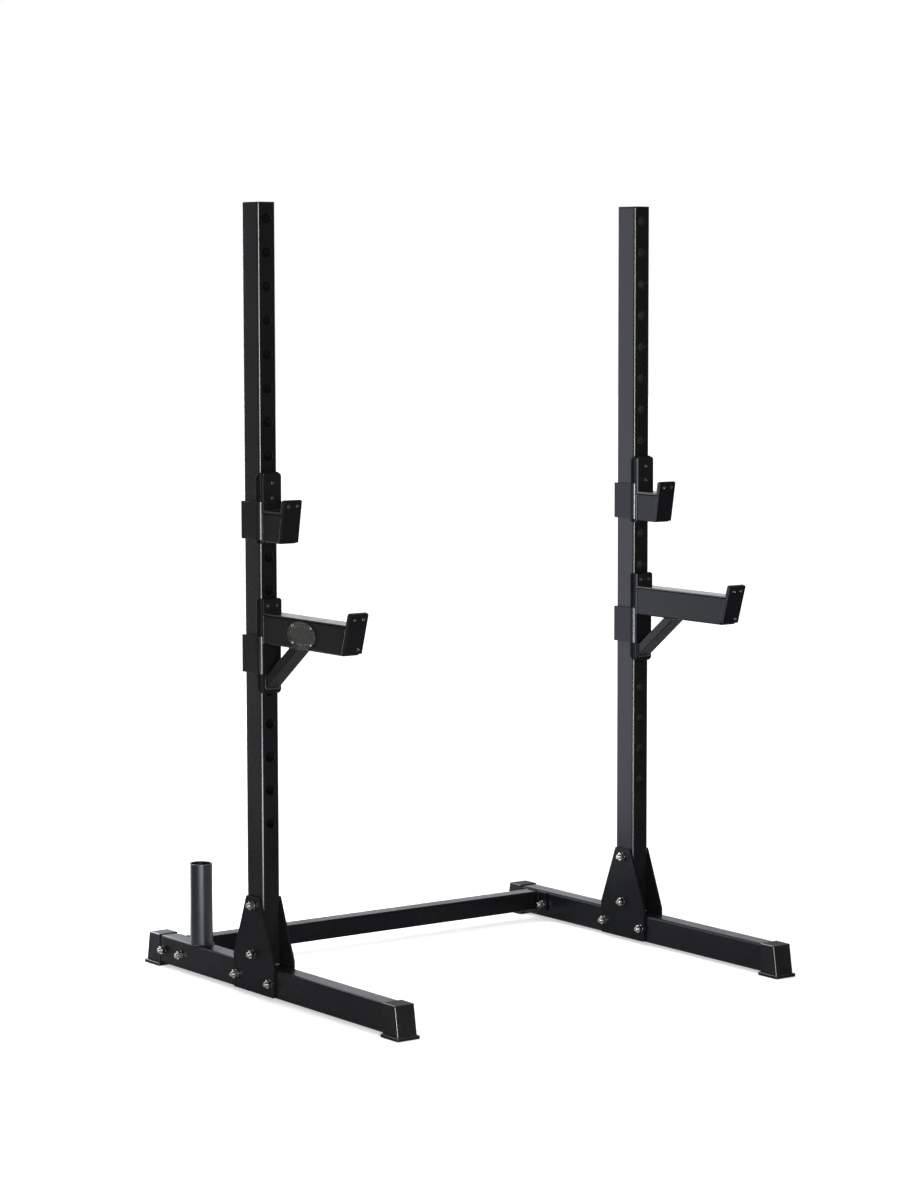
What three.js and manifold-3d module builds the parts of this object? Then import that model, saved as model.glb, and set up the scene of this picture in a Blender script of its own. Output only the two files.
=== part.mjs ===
// Squat stand with two J-hooks and two spotter arms that pin into its uprights.
// Millimetres, +Z up. The lifter's side is -Y and the left stand is at -X.
// The origin is on the floor, under the middle of the stand's box.

import * as THREE from 'three';
import { mergeVertices } from 'three/addons/utils/BufferGeometryUtils.js';
import Module from 'manifold-3d';

const wasm = await Module();
wasm.setup();

// Box tube that the uprights, the rails, the hooks and the arms are cut from
const tubeWidth = 50; // across the stand
const tubeDepth = 70; // the long side
const tubeWall = 3;
const tubeCorner = 6; // outer corner radius

// Uprights
const uprightSpacing = 1140; // between the centre lines of the two uprights
const uprightTop = 1898; // end of the tube, above the floor
const pinHoleDiameter = 24;
const pinHolePitch = 80;
const lowestPinHole = 424; // above the floor
const pinHoleEdge = 1; // least wall between the top hole and the top cap's plug

// Base
const railFront = 580; // from the upright's centre line to the front end of the rail tube
const railRear = 485;
const beamSize = 50; // crossbeam, square tube
const beamWall = 3;
const beamDrop = 2; // top of the crossbeam below the top of the rails
const endPlateThickness = 6;
const endPlateFlange = 34; // end plate past the crossbeam, on each side
const endPlateBoltInset = 18;
const endPlateToCap = 1;
const endPlateCorner = 5;

// Gusset plates
const gussetThickness = 6;
const gussetRise = 165; // top edge above the rail
const gussetTopWidth = 60;
const gussetWidth = 178;
const gussetShoulder = 14; // where the slanted edges end, above the rail
const gussetFootLift = 1.5; // bottom edge above the rail's underside
const gussetTopBoltDrop = 21;
const gussetMiddleBoltRise = 25; // above the rail
const gussetBoltInset = 14;

// Bolts, nuts on their left ends
const boltDiameter = 12;
const boltHoleClearance = 1; // on the diameter
const wrenchSize = 19; // across the flats of heads and nuts
const headHeight = 7.5;
const nutHeight = 10;
const threadReach = 8; // bare thread past the nut

// Caps
const soleThickness = 8;
const capWall = 2;
const capClearance = 0.3;
const capOverlap = 40; // cap over the end of the rail
const capEnd = 7.5; // solid end, at its top
const capFlare = 12.5; // how far the end face leans out, at the floor
const soleLip = 4.5;
const soleToe = 6;
const topCapFlange = 4;
const topCapPlug = 15;

// Tube that holds a bar upright
const storageDiameter = 57;
const storageWall = 2.5;
const storageHeight = 203;
const storageBehind = 286; // from the upright's centre line

// What the hooks and the arms share
const wrapGap = 0.8; // to each side of the upright
const wrapPlate = 5;
const wrapBend = 12; // outer radius of the bends
const wrapFlange = 2; // past the bends, where there are no ears
const wrapOverhang = 3; // ears past the back of the upright
const wrapBelowPin = 29;
const wrapHeight = 90;
const backPlateThickness = 6;
const pinClearance = 1; // on the diameter
const pinOverhang = 6; // past the back of the upright
const pinChamfer = 2;
const linerInset = 2; // liner below the edges that it reaches up to

// J-hooks, with heights from the pin
const hook = {
  pinHole: 10, // counted up from the lowest one
  tubeTop: -54,
  plateTop: 42,
  plateDrop: 4, // below the tube
  plateTopCorner: 10,
  plateFootCorner: 1,
  reach: 78, // back plate to the lip's outer face, at the lip's foot
  lipRise: 2, // foot of the lip above the tube's underside
  lipLength: 103,
  lipThickness: 8,
  leanDegrees: 10,
  linerThickness: 5,
};

// Spotter arms, with heights from the pin
const arm = {
  pinHole: 6,
  tubeTop: 24,
  plateTop: 61,
  plateDrop: 120,
  plateTopCorner: 2,
  plateFootCorner: 10,
  reach: 341,
  lipRise: 4,
  lipLength: 100,
  lipThickness: 10,
  leanDegrees: 17,
  linerThickness: 3,
};
const braceWidth = 40;
const braceDepth = 25;
const braceWall = 2.5;
const braceDegrees = 37; // above the horizontal
const braceFootRise = 12; // above the bottom of the back plate

// Oval badge, left bare, on the outer side of the left arm
const badgeWidth = 119;
const badgeHeight = 64;
const badgeThickness = 2;
const badgePlaceShare = 0.49; // its centre along the arm's reach
const badgeRivetDiameter = 6;
const badgeRivetHeight = 1.2;
const badgeRivetWidthShare = 0.33; // rivets out from the centre
const badgeRivetHeightShare = 0.31;

// Fits and facets
const paintGap = 0.1; // between two pieces that touch
const cutOverrun = 5; // a cutter past what it cuts
const cornerSteps = 3;
const pinSides = 16;
const boltSides = 12;
const roundSides = 32;
const hexSides = 6;

// Heights and places that follow from the sizes
const railBottom = soleThickness + paintGap;
const railTop = railBottom + tubeDepth;
const railMiddle = railBottom + tubeDepth / 2;
const uprightBottom = railTop + paintGap;
const beamTop = railTop - beamDrop;
const endPlateLength = beamSize + 2 * endPlateFlange;
const beamBehind = railRear - capOverlap - endPlateToCap - endPlateLength / 2;
const holeRoom = uprightTop - topCapPlug - pinHoleEdge - pinHoleDiameter / 2 - lowestPinHole;
const pinHoleCount = Math.floor(holeRoom / pinHolePitch) + 1;
const boltHole = boltDiameter + boltHoleClearance;
const wrapHalfWidth = tubeWidth / 2 + wrapGap + wrapPlate;
const wrapFront = -(tubeDepth / 2 + wrapGap + wrapPlate);
const plateBack = wrapFront - paintGap;
const plateFront = plateBack - backPlateThickness;
const linerBack = plateFront - paintGap;

const gussetBolts = [
  { place: 'top', y: 0, z: railTop + gussetRise - gussetTopBoltDrop },
  { place: 'middle', y: 0, z: railTop + gussetMiddleBoltRise },
  { place: 'front', y: gussetBoltInset - gussetWidth / 2, z: railMiddle },
  { place: 'rear', y: gussetWidth / 2 - gussetBoltInset, z: railMiddle },
];
const beamBolts = [
  { place: 'front', y: beamBehind - endPlateLength / 2 + endPlateBoltInset, z: railMiddle },
  { place: 'rear', y: beamBehind + endPlateLength / 2 - endPlateBoltInset, z: railMiddle },
];

const paint = { color: 0x2f3033, roughness: 0.45, metalness: 0.3 };
const capPlastic = { color: 0x3b3c3f, roughness: 0.6, metalness: 0 };
const linerPlastic = { color: 0x141415, roughness: 0.55, metalness: 0 };
const zinc = { color: 0xc9c9c4, roughness: 0.3, metalness: 1 };
const brass = { color: 0x77765a, roughness: 0.45, metalness: 0.9 };

const halfTurn = Math.PI;
const quarterTurn = Math.PI / 2;

// Outlines, as lists of points

function arc(x, y, radius, from, to, steps) {
  const points = [];
  for (let step = 0; step <= steps; step += 1) {
    const turn = from + ((to - from) * step) / steps;
    points.push([x + radius * Math.cos(turn), y + radius * Math.sin(turn)]);
  }
  return points;
}

function polygon(radius, sides, x = 0, y = 0) {
  return arc(x, y, radius, 0, 2 * Math.PI, sides).slice(1);
}

function ellipse(width, height, sides) {
  return polygon(1, sides).map(([x, y]) => [(x * width) / 2, (y * height) / 2]);
}

function roundedRectangle(width, height, footRadius, topRadius = footRadius) {
  const corners = [
    [1, -1, footRadius],
    [1, 1, topRadius],
    [-1, 1, topRadius],
    [-1, -1, footRadius],
  ];
  return corners.flatMap(([right, up, radius], i) => {
    const x = right * (width / 2 - radius);
    const y = up * (height / 2 - radius);
    const steps = radius > 0 ? cornerSteps : 0;
    return steps ? arc(x, y, radius, (i - 1) * quarterTurn, i * quarterTurn, steps) : [[x, y]];
  });
}

function rectangle(xFrom, yFrom, xTo, yTo) {
  return [[xFrom, yFrom], [xTo, yFrom], [xTo, yTo], [xFrom, yTo]];
}

// Solids from outlines

function extrude(outline, holes, length) {
  const shape = new THREE.Shape(outline.map(([x, y]) => new THREE.Vector2(x, y)));
  shape.holes = holes.map((hole) => new THREE.Path(hole.map(([x, y]) => new THREE.Vector2(x, y))));
  return new THREE.ExtrudeGeometry(shape, { depth: length, bevelEnabled: false });
}

// Side view outline in Y and Z, made solid to both sides of X = 0
function extrudeAcross(outline, holes, width) {
  const turn = new THREE.Matrix4().set(0, 0, 1, 0, 1, 0, 0, 0, 0, 1, 0, 0, 0, 0, 0, 1);
  return extrude(outline, holes, width).applyMatrix4(turn).translate(-width / 2, 0, 0);
}

// Front view outline in X and Z, made solid from Y = 0 towards the front
function extrudeForward(outline, holes, length) {
  return extrude(outline, holes, length).rotateX(quarterTurn);
}

function rodAlongY(diameter, length, sides) {
  return new THREE.CylinderGeometry(diameter / 2, diameter / 2, length, sides);
}

function rodAlongX(diameter, length, sides) {
  return rodAlongY(diameter, length, sides).rotateZ(quarterTurn);
}

function tubeOutlines(width, height, wall) {
  const innerCorner = Math.max(tubeCorner - wall, 0);
  return {
    outer: roundedRectangle(width, height, tubeCorner),
    bore: roundedRectangle(width - 2 * wall, height - 2 * wall, innerCorner),
  };
}

// Joins and cuts

function toSolid(geometry) {
  const plain = geometry.clone();
  plain.deleteAttribute('normal');
  plain.deleteAttribute('uv');
  const merged = mergeVertices(plain);
  const vertProperties = merged.attributes.position.array;
  const triVerts = Uint32Array.from(merged.index.array);
  return new wasm.Manifold(new wasm.Mesh({ numProp: 3, vertProperties, triVerts }));
}

function toGeometry(solid) {
  const mesh = solid.getMesh();
  const geometry = new THREE.BufferGeometry();
  geometry.setAttribute('position', new THREE.BufferAttribute(mesh.vertProperties, 3));
  geometry.setIndex(new THREE.BufferAttribute(mesh.triVerts, 1));
  geometry.computeVertexNormals();
  return geometry;
}

function join(geometries) {
  return toGeometry(geometries.map(toSolid).reduce((whole, next) => whole.add(next)));
}

function cut(geometry, cutters) {
  return toGeometry(cutters.map(toSolid).reduce((whole, next) => whole.subtract(next), toSolid(geometry)));
}

function common(first, second) {
  return toGeometry(toSolid(first).intersect(toSolid(second)));
}

// Frame pieces, each in the frame of its own side: X = 0 and Y = 0 on the upright's centre line

function boltCutters(bolts) {
  const length = tubeWidth + 2 * cutOverrun;
  return bolts.map(({ y, z }) => rodAlongX(boltHole, length, boltSides).translate(0, y, z));
}

function upright() {
  const { outer, bore } = tubeOutlines(tubeWidth, tubeDepth, tubeWall);
  const tube = extrude(outer, [bore], uprightTop - uprightBottom).translate(0, 0, uprightBottom);
  const cutters = boltCutters(gussetBolts.slice(0, 2));
  for (let hole = 0; hole < pinHoleCount; hole += 1) {
    const cutter = rodAlongY(pinHoleDiameter, tubeDepth + 2 * cutOverrun, pinSides);
    cutters.push(cutter.translate(0, 0, lowestPinHole + hole * pinHolePitch));
  }
  return cut(tube, cutters);
}

function topCap() {
  const seat = uprightTop + paintGap;
  const { bore } = tubeOutlines(tubeWidth, tubeDepth, tubeWall + capClearance);
  const flangeOutline = roundedRectangle(tubeWidth, tubeDepth, tubeCorner);
  const flange = extrude(flangeOutline, [], topCapFlange).translate(0, 0, seat);
  const plugLength = topCapPlug + topCapFlange / 2;
  const plug = extrude(bore, [], plugLength).translate(0, 0, uprightTop - topCapPlug);
  return join([flange, plug]);
}

function rail() {
  const { outer, bore } = tubeOutlines(tubeWidth, tubeDepth, tubeWall);
  const tube = extrudeForward(outer, [bore], railRear + railFront).translate(0, railRear, railMiddle);
  return cut(tube, boltCutters([...gussetBolts.slice(2), ...beamBolts]));
}

// Cap on the front end of a rail, with Y = 0 at the end of the tube
function footCap() {
  const bodyWidth = tubeWidth + 2 * (capClearance + capWall);
  const pocketTop = railTop + capClearance;
  const bodyTop = pocketTop + capWall;
  const toe = capEnd + capFlare;
  const side = [[capOverlap, 0], [capOverlap, bodyTop], [-capEnd, bodyTop], [-toe, 0]];
  const body = extrudeAcross(side, [], bodyWidth);
  const soleSide = rectangle(-toe - soleToe, 0, capOverlap + soleLip, soleThickness);
  const sole = extrudeAcross(soleSide, [], bodyWidth + 2 * soleLip);
  const pocketSide = rectangle(-paintGap, soleThickness, capOverlap + cutOverrun + soleLip, pocketTop);
  const pocket = extrudeAcross(pocketSide, [], tubeWidth + 2 * capClearance);
  return cut(join([body, sole]), [pocket]);
}

function crossbeam() {
  const length = uprightSpacing - tubeWidth - 2 * (endPlateThickness + 2 * paintGap);
  const { outer, bore } = tubeOutlines(beamSize, beamSize, beamWall);
  return extrudeAcross(outer, [bore], length).translate(0, beamBehind, beamTop - beamSize / 2);
}

function endPlate() {
  const middle = beamTop - beamSize / 2;
  const place = ([y, z]) => [y + beamBehind, z + middle];
  const outline = roundedRectangle(endPlateLength, beamSize, endPlateCorner).map(place);
  const holes = beamBolts.map(({ y, z }) => polygon(boltHole / 2, boltSides, y, z));
  return extrudeAcross(outline, holes, endPlateThickness);
}

function gusset() {
  const halfWidth = gussetWidth / 2;
  const halfTop = gussetTopWidth / 2;
  const foot = railBottom + gussetFootLift;
  const shoulder = railTop + gussetShoulder;
  const top = railTop + gussetRise;
  const outline = [
    [-halfWidth, foot],
    [halfWidth, foot],
    [halfWidth, shoulder],
    [halfTop, top],
    [-halfTop, top],
    [-halfWidth, shoulder],
  ];
  const holes = gussetBolts.map(({ y, z }) => polygon(boltHole / 2, boltSides, y, z));
  return extrudeAcross(outline, holes, gussetThickness);
}

// Bolt through everything between two faces, with its nut left of them and its head right
function bolt(leftFace, rightFace) {
  const hexDiameter = wrenchSize / Math.cos(Math.PI / hexSides);
  const headMiddle = rightFace + paintGap + headHeight / 2;
  const nutMiddle = leftFace - paintGap - nutHeight / 2;
  const tip = nutMiddle - nutHeight / 2 - threadReach;
  const shank = rodAlongX(boltDiameter, headMiddle - tip, boltSides);
  const head = rodAlongX(hexDiameter, headHeight, hexSides).translate(headMiddle, 0, 0);
  const nut = rodAlongX(hexDiameter, nutHeight, hexSides).translate(nutMiddle, 0, 0);
  return join([shank.translate((tip + headMiddle) / 2, 0, 0), head, nut]);
}

function storageTube() {
  const outline = polygon(storageDiameter / 2, roundSides);
  const bore = polygon(storageDiameter / 2 - storageWall, roundSides);
  return extrude(outline, [bore], storageHeight).translate(0, storageBehind, railTop + paintGap);
}

// Hook and arm pieces, with Z = 0 at the pin and Y = 0 on the upright's centre line

// Plan view of a strip bent round the front of the upright, with ears that end at a given Y
function bentStrip(earEnd) {
  const innerX = wrapHalfWidth - wrapPlate;
  const innerBend = Math.max(wrapBend - wrapPlate, 0);
  const bendY = wrapFront + wrapBend;
  const outerBends = [
    ...arc(wrapBend - wrapHalfWidth, bendY, wrapBend, halfTurn, 3 * quarterTurn, cornerSteps),
    ...arc(wrapHalfWidth - wrapBend, bendY, wrapBend, -quarterTurn, 0, cornerSteps),
  ];
  const innerY = wrapFront + wrapPlate + innerBend;
  const innerBends = [
    ...arc(innerX - innerBend, innerY, innerBend, 0, -quarterTurn, cornerSteps),
    ...arc(innerBend - innerX, innerY, innerBend, 3 * quarterTurn, halfTurn, cornerSteps),
  ];
  return [
    [-wrapHalfWidth, earEnd],
    ...outerBends,
    [wrapHalfWidth, earEnd],
    [innerX, earEnd],
    ...innerBends,
    [-innerX, earEnd],
  ];
}

function plateFoot(sizes) {
  return sizes.tubeTop - tubeDepth - sizes.plateDrop;
}

// Front view of the back plate, or of the strip behind it
function plateView(sizes, width) {
  const height = sizes.plateTop - plateFoot(sizes);
  const outline = roundedRectangle(width, height, sizes.plateFootCorner, sizes.plateTopCorner);
  return outline.map(([x, z]) => [x, z + plateFoot(sizes) + height / 2]);
}

// Bent strip as high as the back plate, with ears that reach along the sides of the upright
function wrap(sizes) {
  const flangeEnd = wrapFront + wrapBend + wrapFlange;
  const height = sizes.plateTop - plateFoot(sizes);
  const strip = extrude(bentStrip(flangeEnd), [], height).translate(0, 0, plateFoot(sizes));
  const view = extrudeForward(plateView(sizes, 2 * wrapHalfWidth), [], tubeDepth);
  const front = common(strip, view.translate(0, flangeEnd + cutOverrun, 0));
  const ears = extrude(bentStrip(tubeDepth / 2 + wrapOverhang), [], wrapHeight);
  return join([front, ears.translate(0, 0, -wrapBelowPin - wrapHeight)]);
}

function backPlate(sizes) {
  return extrudeForward(plateView(sizes, tubeWidth), [], backPlateThickness).translate(0, plateBack, 0);
}

function pin() {
  const radius = (pinHoleDiameter - pinClearance) / 2;
  const head = wrapFront + wrapPlate + paintGap;
  const tip = tubeDepth / 2 + pinOverhang;
  const profile = [
    [0, head],
    [radius, head],
    [radius, tip - pinChamfer],
    [radius - pinChamfer, tip],
    [0, tip],
  ];
  return new THREE.LatheGeometry(profile.map(([x, y]) => new THREE.Vector2(x, y)), pinSides);
}

// Point in the lip's side view: along its outer face from the foot, and in through its thickness
function lipPoint(sizes, along, inward) {
  const lean = THREE.MathUtils.degToRad(sizes.leanDegrees);
  const footY = plateFront - sizes.reach;
  const footZ = sizes.tubeTop - tubeDepth + sizes.lipRise;
  return [
    footY - along * Math.sin(lean) + inward * Math.cos(lean),
    footZ + along * Math.cos(lean) + inward * Math.sin(lean),
  ];
}

// Y of the line that runs parallel to the lip, a distance inward from its outer face, at a height
function besideLip(sizes, inward, height) {
  const [y, z] = lipPoint(sizes, 0, inward);
  return y - (height - z) * Math.tan(THREE.MathUtils.degToRad(sizes.leanDegrees));
}

function lip(sizes) {
  const outline = [
    lipPoint(sizes, 0, 0),
    lipPoint(sizes, 0, sizes.lipThickness),
    lipPoint(sizes, sizes.lipLength, sizes.lipThickness),
    lipPoint(sizes, sizes.lipLength, 0),
  ];
  return extrudeAcross(outline.reverse(), [], tubeWidth);
}

// Box tube from the back plate to the lip, its front end cut at the lip's lean
function carryingTube(sizes) {
  const { outer, bore } = tubeOutlines(tubeWidth, tubeDepth, tubeWall);
  const middle = sizes.tubeTop - tubeDepth / 2;
  const tube = extrudeForward(outer, [bore], sizes.reach + tubeDepth).translate(0, linerBack, middle);
  const above = sizes.tubeTop + cutOverrun;
  const below = sizes.tubeTop - tubeDepth - cutOverrun;
  const inward = sizes.lipThickness + paintGap;
  const side = [
    [besideLip(sizes, inward, below), below],
    [linerBack + cutOverrun, below],
    [linerBack + cutOverrun, above],
    [besideLip(sizes, inward, above), above],
  ];
  return common(tube, extrudeAcross(side, [], tubeWidth + 2 * cutOverrun));
}

// One bent strip up the back plate, over the tube and up the lip
function liner(sizes) {
  const seat = sizes.tubeTop + paintGap;
  const saddle = seat + sizes.linerThickness;
  const top = sizes.plateTop - linerInset;
  const lipTop = sizes.lipLength - linerInset;
  const outside = sizes.lipThickness + paintGap;
  const inside = outside + sizes.linerThickness;
  const backFace = linerBack - sizes.linerThickness;
  const outline = [
    [linerBack, top],
    [backFace, top],
    [backFace, saddle],
    [besideLip(sizes, inside, saddle), saddle],
    lipPoint(sizes, lipTop, inside),
    lipPoint(sizes, lipTop, outside),
    [besideLip(sizes, outside, seat), seat],
    [linerBack, seat],
  ];
  return extrudeAcross(outline, [], tubeWidth);
}

// Side view of the brace, its walls moved in and its ends moved out
function braceSide(inset, overrun) {
  const angle = THREE.MathUtils.degToRad(braceDegrees);
  const footZ = arm.tubeTop - tubeDepth - arm.plateDrop + braceFootRise;
  const plateY = linerBack + overrun;
  const underside = arm.tubeTop - tubeDepth - paintGap + overrun;
  const heightAt = (depth) => footZ + depth / Math.cos(angle);
  const onPlate = (depth) => [plateY, heightAt(depth) + (linerBack - plateY) * Math.tan(angle)];
  const onTube = (depth) => [linerBack - (underside - heightAt(depth)) / Math.tan(angle), underside];
  return [onPlate(inset), onPlate(braceDepth - inset), onTube(braceDepth - inset), onTube(inset)];
}

function brace() {
  const outer = extrudeAcross(braceSide(0, 0), [], braceWidth);
  const bore = extrudeAcross(braceSide(braceWall, cutOverrun), [], braceWidth - 2 * braceWall);
  return cut(outer, [bore]);
}

function badge() {
  const plate = extrudeAcross(ellipse(badgeWidth, badgeHeight, roundSides), [], badgeThickness);
  const rivets = [];
  for (const y of [-badgeRivetWidthShare * badgeWidth, badgeRivetWidthShare * badgeWidth]) {
    for (const z of [-badgeRivetHeightShare * badgeHeight, badgeRivetHeightShare * badgeHeight]) {
      const length = badgeThickness / 2 + badgeRivetHeight;
      rivets.push(rodAlongX(badgeRivetDiameter, length, boltSides).translate(-length / 2, y, z));
    }
  }
  return join([plate, ...rivets]);
}

// Assembly

function piece(name, geometry, finish) {
  const mesh = new THREE.Mesh(geometry, new THREE.MeshStandardMaterial({ ...finish, flatShading: true }));
  mesh.name = name;
  return mesh;
}

function placed(mesh, x, y, z) {
  mesh.position.set(x, y, z);
  return mesh;
}

function footCaps(side) {
  const front = piece(`foot_cap_${side}_front`, footCap(), capPlastic);
  const rear = piece(`foot_cap_${side}_rear`, footCap(), capPlastic);
  rear.rotation.z = halfTurn;
  return [placed(front, 0, -railFront, 0), placed(rear, 0, railRear, 0)];
}

function gussets(side) {
  const out = tubeWidth / 2 + paintGap + gussetThickness / 2;
  return [
    placed(piece(`gusset_${side}_a`, gusset(), paint), -out, 0, 0),
    placed(piece(`gusset_${side}_b`, gusset(), paint), out, 0, 0),
  ];
}

function frameBolts(side, inward) {
  const tubeFace = tubeWidth / 2;
  const gussetFace = tubeFace + paintGap + gussetThickness;
  const endPlateFace = tubeFace + paintGap + endPlateThickness;
  const left = inward > 0 ? tubeFace : endPlateFace;
  const right = inward > 0 ? endPlateFace : tubeFace;
  const throughGussets = gussetBolts.map(({ place, y, z }) => {
    const mesh = piece(`gusset_bolt_${side}_${place}`, bolt(-gussetFace, gussetFace), zinc);
    return placed(mesh, 0, y, z);
  });
  const throughRail = beamBolts.map(({ place, y, z }) => {
    const mesh = piece(`beam_bolt_${side}_${place}`, bolt(-left, right), zinc);
    return placed(mesh, 0, y, z);
  });
  return [...throughGussets, ...throughRail];
}

function frameSide(side, inward) {
  const plateX = inward * (tubeWidth / 2 + paintGap + endPlateThickness / 2);
  const group = new THREE.Group();
  group.add(
    piece(`upright_${side}`, upright(), paint),
    piece(`top_cap_${side}`, topCap(), capPlastic),
    piece(`rail_${side}`, rail(), paint),
    placed(piece(`beam_plate_${side}`, endPlate(), paint), plateX, 0, 0),
    ...footCaps(side),
    ...gussets(side),
    ...frameBolts(side, inward),
  );
  return group;
}

function holder(name, sizes) {
  const group = new THREE.Group();
  group.add(
    piece(`${name}_wrap`, wrap(sizes), paint),
    piece(`${name}_plate`, backPlate(sizes), paint),
    piece(`${name}_pin`, pin(), paint),
    piece(`${name}_tube`, carryingTube(sizes), paint),
    piece(`${name}_lip`, lip(sizes), paint),
    piece(`${name}_liner`, liner(sizes), linerPlastic),
  );
  group.position.z = lowestPinHole + sizes.pinHole * pinHolePitch;
  return group;
}

function spotterArm(name) {
  const group = holder(name, arm);
  group.add(piece(`${name}_brace`, brace(), paint));
  return group;
}

function badgeOnArm() {
  const x = -(tubeWidth / 2 + paintGap + badgeThickness / 2);
  const y = plateFront - badgePlaceShare * arm.reach;
  return placed(piece('badge', badge(), brass), x, y, arm.tubeTop - tubeDepth / 2);
}

function squatStand() {
  const stand = new THREE.Group();
  for (const [side, inward] of [['left', 1], ['right', -1]]) {
    const half = frameSide(side, inward);
    const spotter = spotterArm(`arm_${side}`);
    half.add(holder(`hook_${side}`, hook), spotter);
    if (side === 'left') {
      half.add(piece('storage_tube', storageTube(), paint));
      spotter.add(badgeOnArm());
    }
    half.position.x = (-inward * uprightSpacing) / 2;
    stand.add(half);
  }
  stand.add(piece('crossbeam', crossbeam(), paint));
  return stand;
}

const stand = squatStand();
const box = new THREE.Box3().setFromObject(stand);
const middle = box.getCenter(new THREE.Vector3());
stand.position.set(-middle.x, -middle.y, 0);

export default stand;
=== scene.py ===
from math import asin, cos, pi, radians, sin, sqrt, tan

import bmesh
import bpy
from mathutils import Euler, Matrix, Vector


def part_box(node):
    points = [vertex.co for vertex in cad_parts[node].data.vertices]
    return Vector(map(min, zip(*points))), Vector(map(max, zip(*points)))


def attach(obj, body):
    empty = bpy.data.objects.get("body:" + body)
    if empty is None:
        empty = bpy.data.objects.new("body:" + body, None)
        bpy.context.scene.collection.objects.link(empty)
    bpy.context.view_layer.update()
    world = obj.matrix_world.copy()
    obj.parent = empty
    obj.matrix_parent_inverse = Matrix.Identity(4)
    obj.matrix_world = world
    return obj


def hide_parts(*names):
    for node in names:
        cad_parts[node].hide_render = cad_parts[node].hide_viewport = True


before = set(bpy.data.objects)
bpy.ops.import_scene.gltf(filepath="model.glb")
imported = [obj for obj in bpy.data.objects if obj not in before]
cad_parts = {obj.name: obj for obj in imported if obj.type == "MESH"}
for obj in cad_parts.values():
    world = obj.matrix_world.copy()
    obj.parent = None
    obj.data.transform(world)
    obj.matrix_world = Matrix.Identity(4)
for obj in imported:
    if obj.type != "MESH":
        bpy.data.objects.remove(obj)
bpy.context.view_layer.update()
scene = bpy.context.scene
scene.view_settings.view_transform = "Standard"
mm = 0.001
# points nearer than this are one, and slivers thinner than this go, in metres
tiny = dict(samePoint=1e-7, sliver=1e-6)
print("frame loaded:", len(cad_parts), "CAD nodes")

# ---- camera, at the photograph's place

viewCamera = dict(
    place=(-4.85745, -6.6439, 1.7339),
    heading=35.93,  # degrees, clockwise from +Y
    tilt=-5.59,
    roll=-0.12,
    focal=100.2,
    sensor=36,
    farthest=100,  # metres
)


def makeCamera(look):
    data = bpy.data.cameras.new("photoCamera")
    data.sensor_fit = "VERTICAL"
    data.sensor_height = look["sensor"]
    data.lens = look["focal"]
    data.clip_end = look["farthest"]
    camera = bpy.data.objects.new("photoCamera", data)
    turn = Euler((radians(90 + look["tilt"]), 0, radians(-look["heading"]))).to_matrix()
    turn = turn @ Matrix.Rotation(radians(look["roll"]), 3, "Z")
    camera.matrix_world = Matrix.Translation(look["place"]) @ turn.to_4x4()
    scene.collection.objects.link(camera)
    scene.camera = camera


makeCamera(viewCamera)

# ---- node helpers


def addNode(tree, kind, inputs=None, **settings):
    node = tree.nodes.new(kind)
    for key, value in settings.items():
        setattr(node, key, value)
    for key, value in (inputs or {}).items():
        if isinstance(value, bpy.types.NodeSocket):
            tree.links.new(value, node.inputs[key])
        else:
            node.inputs[key].default_value = value
    return node


def newTree(name, kind, inputs, outputs):
    tree = bpy.data.node_groups.new(name, kind)
    for label, (socket, value) in inputs.items():
        made = tree.interface.new_socket(label, in_out="INPUT", socket_type=socket)
        if value is not None:
            made.default_value = value
    for label, socket in outputs.items():
        tree.interface.new_socket(label, in_out="OUTPUT", socket_type=socket)
    return tree, tree.nodes.new("NodeGroupInput"), tree.nodes.new("NodeGroupOutput")


def mathNode(tree, operation, first, second, clamp=False):
    node = addNode(tree, "ShaderNodeMath", {0: first, 1: second}, operation=operation)
    node.use_clamp = clamp
    return node.outputs[0]


def ranged(tree, value, fromLow, fromHigh, toLow=0.0, toHigh=1.0):
    places = {"Value": value, "From Min": fromLow, "From Max": fromHigh}
    places.update({"To Min": toLow, "To Max": toHigh})
    return addNode(tree, "ShaderNodeMapRange", places).outputs["Result"]


def noise(tree, place, scale, detail):
    inputs = {"Vector": place, "Scale": scale, "Detail": detail}
    return addNode(tree, "ShaderNodeTexNoise", inputs).outputs[0]


def dotProduct(tree, first, second):
    inputs = {0: first, 1: second}
    node = addNode(tree, "ShaderNodeVectorMath", inputs, operation="DOT_PRODUCT")
    return node.outputs["Value"]


def tintMix(tree, share, first, second):
    first, second = ((*c, 1.0) if isinstance(c, tuple) else c for c in (first, second))
    inputs = {0: share, 6: first, 7: second}
    return addNode(tree, "ShaderNodeMix", inputs, data_type="RGBA").outputs[2]


# ---- shared effects for the finishes

# noises: waves in a metre and detail; breaks: noise values between which a mask fades in
effectLook = dict(
    fineDetail=2.0,
    lumpDetail=5.0,
    patchBreak=(0.3, 0.7),
    edgeTurn=(0.995, 0.86),  # agreement of the rounded normal with the flat one
    chips=(160.0, 6.0),
    chipBreak=(0.42, 0.62),
    dustSlope=(0.5, 0.95),  # how squarely a face looks up
    dustClouds=(35.0, 8.0),
    dustBreak=(0.35, 0.75),
    scuffLines=(1.0, 3.0),
    scuffBreak=(0.6, 0.74),
)


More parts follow.
